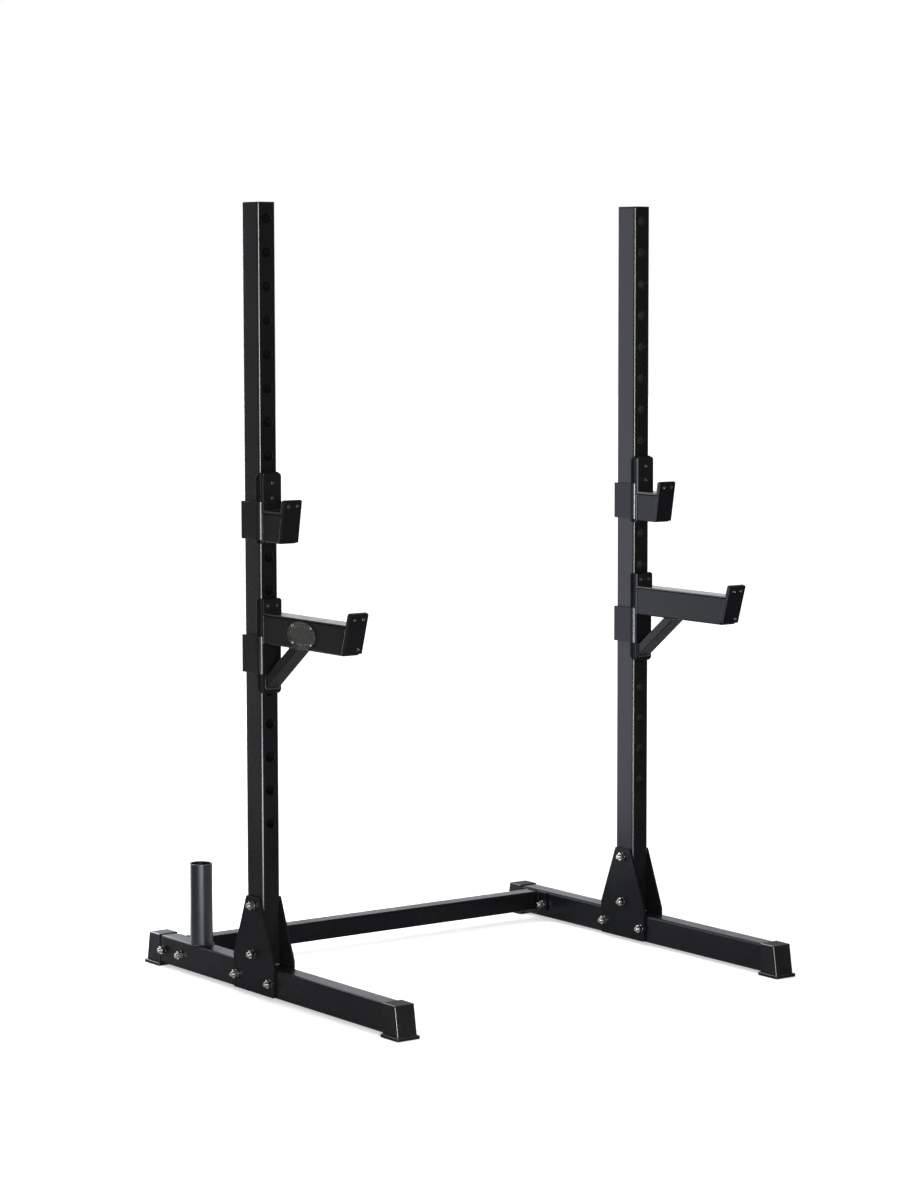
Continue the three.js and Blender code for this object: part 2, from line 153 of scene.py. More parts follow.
def grainGroup(look):
    inputs = {
        "Place": ("NodeSocketVector", None),
        "Fineness": ("NodeSocketFloat", 900.0),  # waves in a metre
        "Lumps": ("NodeSocketFloat", 7.0),
    }
    outputs = {"Height": "NodeSocketFloat", "Patches": "NodeSocketFloat"}
    tree, start, end = newTree("grain", "ShaderNodeTree", inputs, outputs)
    place = start.outputs["Place"]
    fine = noise(tree, place, start.outputs["Fineness"], look["fineDetail"])
    tree.links.new(fine, end.inputs["Height"])
    lumps = noise(tree, place, start.outputs["Lumps"], look["lumpDetail"])
    tree.links.new(ranged(tree, lumps, *look["patchBreak"]), end.inputs["Patches"])
    return tree


def maskTree(name, **more):
    inputs = {"Place": ("NodeSocketVector", None), **more, "Amount": ("NodeSocketFloat", 0.3)}
    return newTree(name, "ShaderNodeTree", inputs, {"Mask": "NodeSocketFloat"})


def closeMask(tree, start, end, shape):
    tree.links.new(mathNode(tree, "MULTIPLY", shape, start.outputs["Amount"]), end.inputs["Mask"])
    return tree


def wearGroup(look):
    tree, start, end = maskTree("edgeWear", Reach=("NodeSocketFloat", 0.001))
    rounded = addNode(tree, "ShaderNodeBevel", {"Radius": start.outputs["Reach"]}, samples=4)
    flat = addNode(tree, "ShaderNodeNewGeometry").outputs["Normal"]
    edge = ranged(tree, dotProduct(tree, rounded.outputs["Normal"], flat), *look["edgeTurn"])
    chips = noise(tree, start.outputs["Place"], *look["chips"])
    broken = ranged(tree, chips, *look["chipBreak"])
    return closeMask(tree, start, end, mathNode(tree, "MULTIPLY", edge, broken))


def dustGroup(look):
    tree, start, end = maskTree("settledDust")
    normal = addNode(tree, "ShaderNodeNewGeometry").outputs["Normal"]
    height = addNode(tree, "ShaderNodeSeparateXYZ", {0: normal}).outputs["Z"]
    upward = ranged(tree, height, *look["dustSlope"])
    clouds = noise(tree, start.outputs["Place"], *look["dustClouds"])
    thick = ranged(tree, clouds, *look["dustBreak"])
    return closeMask(tree, start, end, mathNode(tree, "MULTIPLY", upward, thick))


def scuffGroup(look):
    tree, start, end = maskTree("scuffs", Stretch=("NodeSocketVector", (30.0, 400.0, 400.0)))
    inputs = {0: start.outputs["Place"], 1: start.outputs["Stretch"]}
    drawn = addNode(tree, "ShaderNodeVectorMath", inputs, operation="MULTIPLY")
    lines = noise(tree, drawn.outputs[0], *look["scuffLines"])
    return closeMask(tree, start, end, ranged(tree, lines, *look["scuffBreak"]))


grain, edgeWear = grainGroup(effectLook), wearGroup(effectLook)
settledDust, scuffs = dustGroup(effectLook), scuffGroup(effectLook)

# ---- finishes

# what a finish has unless it says otherwise
anyFinish = dict(metallic=0.0, ior=1.5, tint=(1, 1, 1), dustRoughness=0.4)
# second: colour of the patches; fineness, lumps: waves in a metre; depth and wearReach in mm
finishes = dict(
    blackPaint=dict(
        colour=(0.0034, 0.0035, 0.0039),
        second=(0.0056, 0.0057, 0.0062),
        worn=(0.035, 0.035, 0.037),
        dusty=(0.050, 0.049, 0.047),
        roughness=(0.23, 0.31),
        ior=1.13,
        tint=(0.92, 0.94, 1.0),
        bendRoughness=0.24,  # thicker, glossier paint on the rounded edges that stand upright
        bendIor=1.60,
        fineness=700.0,
        lumps=5.0,
        depth=0.004,
        wearReach=1.2,
        wear=0.25,
        dust=0.10,
        scuffStretch=(60.0, 90.0, 500.0),
        scuff=0.10,
    ),
    hammeredPaint=dict(
        colour=(0.0022, 0.0026, 0.0034),
        second=(0.0040, 0.0045, 0.0058),
        worn=(0.060, 0.060, 0.062),
        dusty=(0.060, 0.058, 0.055),
        roughness=(0.31, 0.35),
        ior=1.48,
        tint=(0.90, 0.94, 1.0),
        fineness=900.0,
        lumps=60.0,
        depth=0.014,
        wearReach=1.0,
        wear=0.6,
        dust=0.05,
        scuffStretch=(90.0, 90.0, 600.0),
        scuff=0.05,
    ),
    weldPaint=dict(
        colour=(0.0034, 0.0035, 0.0039),
        second=(0.0056, 0.0057, 0.0062),
        worn=(0.060, 0.060, 0.062),
        dusty=(0.050, 0.049, 0.047),
        roughness=(0.24, 0.34),
        ior=1.45,
        fineness=700.0,
        lumps=60.0,
        depth=0.006,
        wearReach=0.6,
        wear=0.3,
        dust=0.05,
        scuffStretch=(60.0, 90.0, 500.0),
        scuff=0.05,
    ),
    capPlastic=dict(
        colour=(0.0050, 0.0050, 0.0053),
        second=(0.0080, 0.0080, 0.0083),
        worn=(0.060, 0.060, 0.060),
        dusty=(0.080, 0.078, 0.072),
        roughness=(0.42, 0.52),
        ior=1.13,
        bendRoughness=0.2,
        bendIor=1.6,
        fineness=1500.0,
        lumps=25.0,
        depth=0.006,
        wearReach=1.5,
        wear=0.5,
        dust=0.18,
        scuffStretch=(200.0, 200.0, 60.0),
        scuff=0.10,
    ),
    linerPlastic=dict(
        colour=(0.0040, 0.0040, 0.0042),
        second=(0.0060, 0.0060, 0.0062),
        worn=(0.030, 0.030, 0.030),
        dusty=(0.060, 0.058, 0.055),
        roughness=(0.20, 0.28),
        ior=1.20,
        fineness=1200.0,
        lumps=30.0,
        depth=0.006,
        wearReach=0.8,
        wear=0.4,
        dust=0.08,
        scuffStretch=(25.0, 500.0, 500.0),
        scuff=0.25,
    ),
    zinc=dict(
        colour=(0.18, 0.18, 0.165),
        second=(0.32, 0.32, 0.30),
        worn=(0.60, 0.60, 0.57),
        dusty=(0.15, 0.145, 0.135),
        roughness=(0.18, 0.28),
        metallic=1.0,
        fineness=900.0,
        lumps=180.0,
        depth=0.01,
        wearReach=0.5,
        wear=0.6,
        dust=0.10,
        scuffStretch=(300.0, 900.0, 900.0),
        scuff=0.15,
    ),
    bareInside=dict(
        colour=(0.0035, 0.0034, 0.0033),
        second=(0.0060, 0.0057, 0.0053),
        worn=(0.010, 0.009, 0.008),
        dusty=(0.020, 0.020, 0.020),
        roughness=(0.50, 0.62),
        ior=1.15,
        fineness=300.0,
        lumps=40.0,
        depth=0.02,
        wearReach=0.5,
        wear=0.0,
        dust=0.1,
        scuffStretch=(60.0, 60.0, 60.0),
        scuff=0.1,
    ),
    screwSteel=dict(
        colour=(0.050, 0.050, 0.052),
        second=(0.100, 0.100, 0.102),
        worn=(0.40, 0.40, 0.40),
        dusty=(0.08, 0.08, 0.075),
        roughness=(0.20, 0.30),
        metallic=1.0,
        fineness=1200.0,
        lumps=250.0,
        depth=0.008,
        wearReach=0.4,
        wear=0.8,
        dust=0.05,
        scuffStretch=(300.0, 900.0, 900.0),
        scuff=0.10,
    ),
    brass=dict(
        colour=(0.005, 0.005, 0.0032),
        second=(0.013, 0.0125, 0.0085),
        worn=(0.36, 0.34, 0.26),
        dusty=(0.06, 0.058, 0.05),
        roughness=(0.34, 0.52),
        metallic=0.9,
        fineness=420.0,
        lumps=120.0,
        depth=0.10,
        wearReach=0.8,
        wear=0.9,
        dust=0.05,
        scuffStretch=(400.0, 60.0, 500.0),
        scuff=0.20,
    ),
)
finishes["thinPaint"] = dict(finishes["blackPaint"], ior=1.10)  # hooks, arms and gussets
finishes["brightWeld"] = dict(finishes["weldPaint"], ior=1.85)  # seams that catch the light


def makeFinish(name, look):
    look = dict(anyFinish, **look)
    material = bpy.data.materials.new(name)
    material.use_nodes = True
    tree = material.node_tree
    shader = tree.nodes["Principled BSDF"].inputs
    place = addNode(tree, "ShaderNodeTexCoord").outputs["Object"]

    def effect(group, **values):
        node = addNode(tree, "ShaderNodeGroup", dict(values, Place=place), node_tree=group)
        return node.outputs

    surface = effect(grain, Fineness=look["fineness"], Lumps=look["lumps"])
    worn = effect(edgeWear, Reach=look["wearReach"] * mm, Amount=look["wear"])["Mask"]
    dust = effect(settledDust, Amount=look["dust"])["Mask"]
    marks = effect(scuffs, Stretch=look["scuffStretch"], Amount=look["scuff"])["Mask"]
    colour = tintMix(tree, surface["Patches"], look["colour"], look["second"])
    for mask, over in ((marks, "worn"), (worn, "worn"), (dust, "dusty")):
        colour = tintMix(tree, mask, colour, look[over])
    tree.links.new(colour, shader["Base Color"])
    rough = ranged(tree, surface["Patches"], 0.0, 1.0, *look["roughness"])
    dull = mathNode(tree, "MULTIPLY", dust, look["dustRoughness"])
    tree.links.new(mathNode(tree, "ADD", rough, dull, True), shader["Roughness"])
    shader["Metallic"].default_value = look["metallic"]
    shader["IOR"].default_value = look["ior"]
    shader["Specular Tint"].default_value = (*look["tint"], 1)
    if "bendIor" in look:
        bend = addNode(tree, "ShaderNodeAttribute", attribute_name="bend").outputs["Fac"]
        tree.links.new(bend, shader["Coat Weight"])
        shader["Coat Roughness"].default_value = look["bendRoughness"]
        shader["Coat IOR"].default_value = look["bendIor"]
    relief = {"Height": surface["Height"], "Strength": 1.0, "Distance": look["depth"] * mm}
    tree.links.new(addNode(tree, "ShaderNodeBump", relief).outputs["Normal"], shader["Normal"])
    return material


materials = {name: makeFinish(name, look) for name, look in finishes.items()}
print("finishes made:", len(materials))

# ---- mesh helpers


def corners(node):
    low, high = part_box(node)
    return low / mm, high / mm


def middleOf(node):
    return [(a + b) / 2 for a, b in zip(*corners(node))]


def titled(kind, side):
    return kind + side.capitalize()


def meshObject(name, vertices, faces, edges=()):
    mesh = bpy.data.meshes.new(name)
    mesh.from_pydata([Vector(v) * mm for v in vertices], list(edges), faces)
    if faces:
        work = bmesh.new()
        work.from_mesh(mesh)
        bmesh.ops.remove_doubles(work, verts=work.verts, dist=tiny["samePoint"])
        bmesh.ops.recalc_face_normals(work, faces=work.faces)
        work.to_mesh(mesh)
        work.free()
    obj = bpy.data.objects.new(name, mesh)
    scene.collection.objects.link(obj)
    return obj


def baked(obj):
    bpy.context.view_layer.update()
    graph = bpy.context.evaluated_depsgraph_get()
    mesh = bpy.data.meshes.new_from_object(obj.evaluated_get(graph), depsgraph=graph)
    obj.modifiers.clear()
    obj.data = mesh
    return obj


def softened(obj, width, steps=3, angle=30):
    bevel = obj.modifiers.new("softEdges", "BEVEL")
    bevel.width = width * mm
    bevel.segments = steps
    bevel.limit_method = "ANGLE"
    bevel.angle_limit = radians(angle)
    return baked(obj)


def united(name, parts):
    work = bmesh.new()
    coats = []
    for part in parts:
        before = len(work.faces)
        work.from_mesh(part.data)
        work.faces.ensure_lookup_table()
        coat = part.data.materials[0]
        if coat not in coats:
            coats.append(coat)
        for face in work.faces[before:]:
            face.material_index = coats.index(coat)
        bpy.data.objects.remove(part)
    mesh = bpy.data.meshes.new(name)
    work.to_mesh(mesh)
    work.free()
    for coat in coats:
        mesh.materials.append(coat)
    obj = bpy.data.objects.new(name, mesh)
    scene.collection.objects.link(obj)
    return obj


def coated(obj, finish):
    obj.data.materials.clear()
    obj.data.materials.append(materials[finish])
    return obj


# how a rounded edge is told from a flat side
bendSigns = dict(
    widest=3,
    leastTurn=4,  # degrees, to the faces along its long edges
    longShare=0.7,  # of the longest edge
    slantFrom=0.06,
    slantOver=0.12,
)


def markBends(mesh, narrowest, lyingGloss, glossyHeights):
    low, high = glossyHeights
    work = bmesh.new()
    work.from_mesh(mesh)
    bend = work.faces.layers.float.new("bend")
    for face in work.faces:
        longest = max(face.edges, key=lambda edge: edge.calc_length())
        length = longest.calc_length()
        reach = bendSigns["longShare"] * length
        turn = max(edge.calc_face_angle(0) for edge in face.edges if edge.calc_length() > reach)
        broad = face.calc_area() / length / mm
        strip = narrowest < broad < bendSigns["widest"] and turn > radians(bendSigns["leastTurn"])
        if strip and low < face.calc_center_median().z / mm < high:
            rise = abs(longest.verts[0].co.z - longest.verts[1].co.z) / length
            slant = 1 - max(part**2 for part in face.normal)  # 0 on a flat side, 0.5 at the crown
            crown = min(max((slant - bendSigns["slantFrom"]) / bendSigns["slantOver"], 0), 1)
            face[bend] = max(rise**3, lyingGloss) * crown
    work.to_mesh(mesh)
    work.free()


def finished(
    obj, body, nodes, finish, sharp=38, narrowest=0.75, lyingGloss=0.0, glossyHeights=(0, 2000)
):
    if not obj.data.materials:
        coated(obj, finish)
    markBends(obj.data, narrowest, lyingGloss, glossyHeights)
    for face in obj.data.polygons:
        face.use_smooth = True
    obj.data.set_sharp_from_angle(angle=radians(sharp))
    even = obj.modifiers.new("evenNormals", "WEIGHTED_NORMAL")
    even.keep_sharp = True
    baked(obj)
    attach(obj, body)
    if nodes:
        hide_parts(*nodes)
    return obj


def arcPoints(x, y, radius, start, end, steps):
    turns = [start + (end - start) * step / steps for step in range(steps + 1)]
    return [(x + radius * cos(t), y + radius * sin(t)) for t in turns]


def circle(radius, sides, x=0, y=0):
    return arcPoints(x, y, radius, 0, 2 * pi, sides)[:-1]


def roundedOutline(width, height, foot, top=None, steps=8, x=0, y=0):
    top = foot if top is None else top
    points = []
    for i, (right, up, radius) in enumerate([(1, -1, foot), (1, 1, top), (-1, 1, top), (-1, -1, foot)]):
        cornerX = x + right * (width / 2 - radius)
        cornerY = y + up * (height / 2 - radius)
        points += arcPoints(cornerX, cornerY, radius, (i - 1) * pi / 2, i * pi / 2, steps)
    return points


def boxOutlines(width, depth, wall, corner, x=0, y=0):
    outer = roundedOutline(width, depth, corner, x=x, y=y)
    bore = roundedOutline(width - 2 * wall, depth - 2 * wall, corner - wall, x=x, y=y)
    return outer, bore


def filleted(outline, radius, steps=5):
    points = []
    for i, here in enumerate(outline):
        here = Vector(here)
        before = (Vector(outline[i - 1]) - here).normalized()
        after = (Vector(outline[(i + 1) % len(outline)]) - here).normalized()
        half = before.angle(after) / 2
        back = radius / tan(half)
        centre = here + (before + after).normalized() * radius / sin(half)
        first, last = here + before * back - centre, here + after * back - centre
        for step in range(steps + 1):
            arm = first.lerp(last, step / steps).normalized() * radius
            points.append(tuple(centre + arm))
    return points


def skin(rings, closedLoop=False):
    count = len(rings[0])
    vertices = [point for ring in rings for point in ring]
    faces = []
    for i in range(len(rings) if closedLoop else len(rings) - 1):
        a, b = i * count, (i + 1) % len(rings) * count
        for j in range(count):
            k = (j + 1) % count
            faces.append((a + j, a + k, b + k, b + j))
    if not closedLoop:
        faces.append(tuple(range(count)))
        faces.append(tuple(range((len(rings) - 1) * count, len(rings) * count)))
    return vertices, faces


def alongAxis(axis, outline, place):
    # an outline's two numbers are X and Y for axis Z, X and Z for axis Y, Y and Z for axis X
    return [
        {"X": (place, a, b), "Y": (a, place, b), "Z": (a, b, place)}[axis] for a, b in outline
    ]


def prism(name, axis, outline, start, end):
    rings = [alongAxis(axis, outline, start), alongAxis(axis, outline, end)]
    return meshObject(name, *skin(rings))


def tube(name, axis, outer, bore, near, far, lip=0.5):
    # the outer edges of both ends are a little rounded
    centre = [sum(p[i] for p in outer) / len(outer) for i in (0, 1)]

    def drawnIn(value, middle):
        away = value - middle
        return middle + away * (1 - lip / abs(away)) if abs(away) > lip else value

    small = [tuple(map(drawnIn, point, centre)) for point in outer]
    levels = [(small, near), (outer, near + lip), (outer, far - lip), (small, far)]
    levels += [(bore, far), (bore, near)]
    rings = [alongAxis(axis, outline, place) for outline, place in levels]
    return meshObject(name, *skin(rings, closedLoop=True))


def turned(name, axis, profile, steps, place=(0, 0, 0), leastRadius=1e-4):
    # profile: radius and distance along the axis, from one closed end to the other
    centre = Vector(place)
    rings = []
    for radius, along in profile:
        ring = circle(max(radius, leastRadius), steps)
        rings.append([tuple(Vector(p) + centre) for p in alongAxis(axis, ring, along)])
    return meshObject(name, *skin(rings))


# ---- geometry node trees for what repeats


def growTree(name, **inputs):
    places = {"Geometry": ("NodeSocketGeometry", None), **inputs}
    places["Finish"] = ("NodeSocketMaterial", None)
    return newTree(name, "GeometryNodeTree", places, {"Geometry": "NodeSocketGeometry"})


def realized(tree, geometry):
    return addNode(tree, "GeometryNodeRealizeInstances", {"Geometry": geometry}).outputs[0]


def closeTree(tree, start, end, made):
    inputs = {"Geometry": realized(tree, made), "Material": start.outputs["Finish"]}
    coat = addNode(tree, "GeometryNodeSetMaterial", inputs)
    tree.links.new(coat.outputs[0], end.inputs["Geometry"])
    return tree


def copiesOn(tree, points, shape, **more):
    inputs = dict(more, Points=points, Instance=shape)
    return addNode(tree, "GeometryNodeInstanceOnPoints", inputs).outputs[0]


def fromObject(tree, chosen):
    return addNode(tree, "GeometryNodeObjectInfo", {"Object": chosen}).outputs["Geometry"]


def aimed(tree, way):
    return addNode(tree, "FunctionNodeAlignRotationToVector", {"Vector": way}, axis="Z").outputs[0]


def randomNumber(tree, seed, low, high):
    inputs = {"Seed": seed, 2: low, 3: high}
    return addNode(tree, "FunctionNodeRandomValue", inputs, data_type="FLOAT").outputs[1]


def perforationTree():
    tree, start, end = growTree(
        "perforations",
        Cutter=("NodeSocketObject", None),
        Count=("NodeSocketInt", 10),
        First=("NodeSocketVector", None),
        Step=("NodeSocketVector", None),
    )
    row = {"Count": start.outputs["Count"], "Start Location": start.outputs["First"]}
    row["Offset"] = start.outputs["Step"]
    line = addNode(tree, "GeometryNodeMeshLine", row, mode="OFFSET")
    cutters = copiesOn(tree, line.outputs[0], fromObject(tree, start.outputs["Cutter"]))
    holes = addNode(tree, "GeometryNodeMeshBoolean", operation="DIFFERENCE", solver="EXACT")
    tree.links.new(start.outputs["Geometry"], holes.inputs["Mesh 1"])
    tree.links.new(realized(tree, cutters), holes.inputs["Mesh 2"])
    return closeTree(tree, start, end, holes.outputs["Mesh"])


def fastenerTree():
    # one copy of the fastener on each point, its own Z along the point's facing, spun at random
    tree, start, end = growTree(
        "fasteners", Fastener=("NodeSocketObject", None), Seed=("NodeSocketInt", 1)
    )
    named = {"Name": "facing"}
    facing = addNode(tree, "GeometryNodeInputNamedAttribute", named, data_type="FLOAT_VECTOR")
    spin = {"Z": randomNumber(tree, start.outputs["Seed"], 0.0, 2 * pi)}
    spin = addNode(tree, "ShaderNodeCombineXYZ", spin).outputs[0]
    turns = {0: aimed(tree, facing.outputs["Attribute"])}
    turns[1] = addNode(tree, "FunctionNodeEulerToRotation", {0: spin}).outputs[0]
    both = addNode(tree, "FunctionNodeRotateRotation", turns, rotation_space="LOCAL")
    shape = fromObject(tree, start.outputs["Fastener"])
    copies = copiesOn(tree, start.outputs["Geometry"], shape, Rotation=both.outputs[0])
    return closeTree(tree, start, end, copies)


weldLook = dict(
    bead=1.7,
    pitch=1.9,  # between beads of that size
    flatness=(1.0, 1.0, 0.72),
    tilt=0.5,
    segments=8,
    rings=5,
    spread=(0.85, 1.1),  # of the beads' sizes
)


def weldTree(look):
    # overlapping beads along the edges of the mesh that it is given
    tree, start, end = growTree(
        "weldBeads",
        Bead=("NodeSocketFloat", 0.002),
        Pitch=("NodeSocketFloat", 0.002),
        Seed=("NodeSocketInt", 1),
    )
    path = addNode(tree, "GeometryNodeMeshToCurve", {"Mesh": start.outputs["Geometry"]})
    spacing = {"Curve": path.outputs[0], "Length": start.outputs["Pitch"]}
    dots = addNode(tree, "GeometryNodeResampleCurve", spacing, mode="LENGTH").outputs[0]
    sizes = {"Segments": look["segments"], "Rings": look["rings"], "Radius": start.outputs["Bead"]}
    ball = addNode(tree, "GeometryNodeMeshUVSphere", sizes).outputs["Mesh"]
    squash = {"Geometry": ball, "Rotation": (0, look["tilt"], 0), "Scale": look["flatness"]}
    bead = addNode(tree, "GeometryNodeTransform", squash).outputs[0]
    turn = aimed(tree, addNode(tree, "GeometryNodeInputTangent").outputs[0])
    size = randomNumber(tree, start.outputs["Seed"], *look["spread"])
    return closeTree(tree, start, end, copiesOn(tree, dots, bead, Rotation=turn, Scale=size))


perforations, fasteners, weldBeads = perforationTree(), fastenerTree(), weldTree(weldLook)


def grown(obj, tree, finish, values):
    modifier = obj.modifiers.new(tree.name, "NODES")
    modifier.node_group = tree
    wanted = dict(values, Finish=materials[finish])
    for item in tree.interface.items_tree:
        if item.item_type == "SOCKET" and item.in_out == "INPUT" and item.name in wanted:
            modifier[item.identifier] = wanted[item.name]
    baked(obj)
    return coated(obj, finish)


def fastened(name, shape, finish, places, seed):
    # places: list of (point, facing); the shape that is copied goes away
    obj = meshObject(name, [point for point, facing in places], [])
    direction = obj.data.attributes.new("facing", "FLOAT_VECTOR", "POINT")
    for item, (point, facing) in zip(direction.data, places):
        item.vector = facing
    grown(obj, fasteners, finish, {"Fastener": shape, "Seed": seed})
    bpy.data.objects.remove(shape)
    return obj


def welded(name, path, closed=False, bead=weldLook["bead"], seed=3, finish="weldPaint"):
    links = [(i, i + 1) for i in range(len(path) - 1)]
    if closed:
        links.append((len(path) - 1, 0))
    obj = meshObject(name, path, [], links)
    pitch = weldLook["pitch"] * bead / weldLook["bead"]
    sizes = {"Bead": bead * mm, "Pitch": pitch * mm, "Seed": seed}
    return grown(obj, weldBeads, finish, sizes)


# ---- places that the frame gives

tubeSection = dict(width=50, depth=70, wall=3, corner=6)
bothSides = ("left", "right")
centreX = {side: middleOf(f"upright_{side}")[0] for side in bothSides}
centreY = middleOf("upright_right")[1]

# ---- uprights and their top caps

uprightLook = dict(
    holeDiameter=24,
    dishWidth=3.4,  # the punched rim, drawn in round each hole
    dishDepth=1.8,
    dishSteps=5,
    holeSides=40,
    cutterOverrun=2,
    holePitch=80,
    lowestHole=424,
    holeCount=19,
    bareReach=0.2,  # how far outside the bore a face still counts as bare
    footBead=2.4,
    footBeadPlace=(-0.7, 0.8),  # from the front face, and above the upright's end
)


def holeCutter(look, reach):
    radius, width, depth = look["holeDiameter"] / 2, look["dishWidth"], look["dishDepth"]
    rim = arcPoints(0, 0, 1, pi, pi / 2, look["dishSteps"])
    far = [(radius + width * (1 + r), reach - depth * (1 - y)) for r, y in rim]
    far.append((radius + width, reach + look["cutterOverrun"]))
    near = [(r, -y) for r, y in reversed(far)]
    return turned("holeCutter", "Y", near + far, look["holeSides"])


def bareBore(obj, side, reach):
    # the faces of the bore are bare steel
    halfX = tubeSection["width"] / 2 - tubeSection["wall"] + reach
    halfY = tubeSection["depth"] / 2 - tubeSection["wall"] + reach
    obj.data.materials.append(materials["bareInside"])
    for face in obj.data.polygons:
        middle = face.center / mm
        if abs(middle.x - centreX[side]) < halfX and abs(middle.y - centreY) < halfY:
            face.material_index = len(obj.data.materials) - 1


def makeUpright(side):
    node, look = f"upright_{side}", uprightLook
    low, high = corners(node)
    outer, bore = boxOutlines(**tubeSection, x=centreX[side], y=centreY)
    obj = tube(titled("upright", side), "Z", outer, bore, low.z, high.z)
    cutter = holeCutter(look, tubeSection["depth"] / 2)
    sizes = {
        "Cutter": cutter,
        "Count": look["holeCount"],
        "First": Vector((centreX[side], centreY, look["lowestHole"])) * mm,
        "Step": (0, 0, look["holePitch"] * mm),
    }
    grown(obj, perforations, "blackPaint", sizes)
    bpy.data.objects.remove(cutter)
    reach = tubeSection["width"] / 2 - tubeSection["corner"]
    out, up = look["footBeadPlace"]
    row = [(centreX[side] + way * reach, low.y + out, low.z + up) for way in (-1, 1)]
    foot = welded("footSeam", row, bead=look["footBead"], seed=4, finish="zinc")
    whole = united(titled("upright", side), [obj, foot])
    bareBore(whole, side, look["bareReach"])
    finished(whole, "frame", [node], "blackPaint", sharp=30, narrowest=0.95)


# pairs: how far in from the tube's outline, and how high: over the lower end for the plug,
# over the seat for the seat, under the top for the edge and the dish
topCapLook = dict(
    flange=4,
    leastCorner=1.5,
    plug=((4.3, 0), (3.3, 1.5)),
    seat=((3.3, 0), (0.4, 0), (0, 0.5)),
    edge=((0, 1.8), (0.3, 1.1), (1.0, 0.5), (2.0, 0.2), (4.5, 0)),
    dish=((7.5, 0), (8.3, 0.5), (9.2, 1.3), (12, 1.3)),
)


def makeTopCap(side):
    node, look = f"top_cap_{side}", topCapLook
    low, high = corners(node)

    def level(inset, height):
        wide, deep = tubeSection["width"] - 2 * inset, tubeSection["depth"] - 2 * inset
        radius = max(tubeSection["corner"] - inset, look["leastCorner"])
        outline = roundedOutline(wide, deep, radius, x=centreX[side], y=centreY)
        return alongAxis("Z", outline, height)

    seat = high.z - look["flange"]
    rings = [level(inset, low.z + up) for inset, up in look["plug"]]
    rings += [level(inset, seat + up) for inset, up in look["seat"]]
    rings += [level(inset, high.z - down) for inset, down in look["edge"] + look["dish"]]
    obj = meshObject(titled("topCap", side), *skin(rings))
    finished(obj, "frame", [node], "capPlastic")


for side in bothSides:
    makeUpright(side)
    makeTopCap(side)
print("uprights made")

# ---- base: rails, foot caps, crossbeam and its end plates, gussets

footCapLook = dict(
    flare=12.5,
    lip=4.5,
    toe=6,
    sole=8,
    sunk=1,  # the cap's body into its sole
    round=2.6,
    roundGrowth=0.3,
    cornerSteps=6,
    frontTurns=(0, 25, 50, 70, 90),
    mouthEdge=0.6,
    mouthCorner=0.4,
    soleCorner=3.5,
    soleSoft=1.3,
)


def makeRail(side):
    node = f"rail_{side}"
    low, high = corners(node)
    outer, bore = boxOutlines(**tubeSection, x=centreX[side], y=middleOf(node)[2])
    obj = tube(titled("rail", side), "Y", outer, bore, low.y, high.y)
    finished(obj, "frame", [node], "blackPaint")


def makeFootCap(side, end):
    node, look = f"foot_cap_{side}_{end}", footCapLook
    low, high = corners(node)
    x, upper = centreX[side], high.z
    # tip: end of the sole's toe; mouth: open end of the sole
    outward, tip, mouth = (-1, low.y, high.y) if end == "front" else (1, high.y, low.y)
    soleHalf = (high.x - low.x) / 2
    wide = soleHalf - look["lip"]
    foot = tip - outward * look["toe"]
    top = foot - outward * look["flare"]
    back = mouth + outward * look["lip"]
    base = look["sole"] - look["sunk"]
    lean = look["flare"] * (upper - base) / upper
    rounding, edge, steps = look["round"], look["mouthEdge"], look["cornerSteps"]

    def section(y, peak, half, radius, lean=0):
        # a flat foot and two rounded top corners; lean moves the top back
        points = [(x - half, base), (x + half, base)]
        points += arcPoints(x + half - radius, peak - radius, radius, 0, pi / 2, steps)
        points += arcPoints(x - half + radius, peak - radius, radius, pi / 2, pi, steps)
        return [(px, y - outward * lean * (pz - base) / (peak - base), pz) for px, pz in points]

    rings = [section(back, upper - edge, wide - edge, rounding - look["mouthCorner"])]
    rings.append(section(back + outward * edge, upper, wide, rounding))
    rings.append(section((back + top) / 2, upper, wide, rounding))
    for turn in look["frontTurns"]:
        inset = rounding * (1 - cos(radians(turn)))
        y = foot - outward * rounding * (1 - sin(radians(turn)))
        radius = rounding + inset * look["roundGrowth"]
        rings.append(section(y, upper - inset, wide - inset, radius, lean))
    body = coated(meshObject("capBody", *skin(rings)), "capPlastic")
    outline = [(x - soleHalf, low.y), (x + soleHalf, low.y)]
    outline += [(x + soleHalf, high.y), (x - soleHalf, high.y)]
    sole = prism("capSole", "Z", filleted(outline, look["soleCorner"]), low.z, look["sole"])
    sole = coated(softened(sole, look["soleSoft"]), "capPlastic")
    cap = united(titled(titled("footCap", side), end), [body, sole])
    finished(cap, "frame", [node], "capPlastic", narrowest=0.3, lyingGloss=1.0)


beamLook = dict(
    wall=3,
    corner=6,
    plateCorner=5,
    plateSoft=0.8,
    weldOut=0.8,
    weldCorner=7,
    weldSteps=6,
    weldInset=0.6,
)


def makeCrossbeam(look):
    low, high = corners("crossbeam")
    y, z = middleOf("crossbeam")[1:]
    size = high.z - low.z
    outer, bore = boxOutlines(size, size, look["wall"], look["corner"], y, z)
    parts = [coated(tube("crossbeam.body", "X", outer, bore, low.x, high.x), "blackPaint")]
    around = size + 2 * look["weldOut"]
    seam = roundedOutline(around, around, look["weldCorner"], x=y, y=z, steps=look["weldSteps"])
    for end, seed in ((low.x + look["weldInset"], 1), (high.x - look["weldInset"], 2)):
        parts.append(welded("beamSeam", alongAxis("X", seam, end), True, seed=seed))
    finished(united("crossbeamWelded", parts), "frame", ["crossbeam"], "blackPaint")


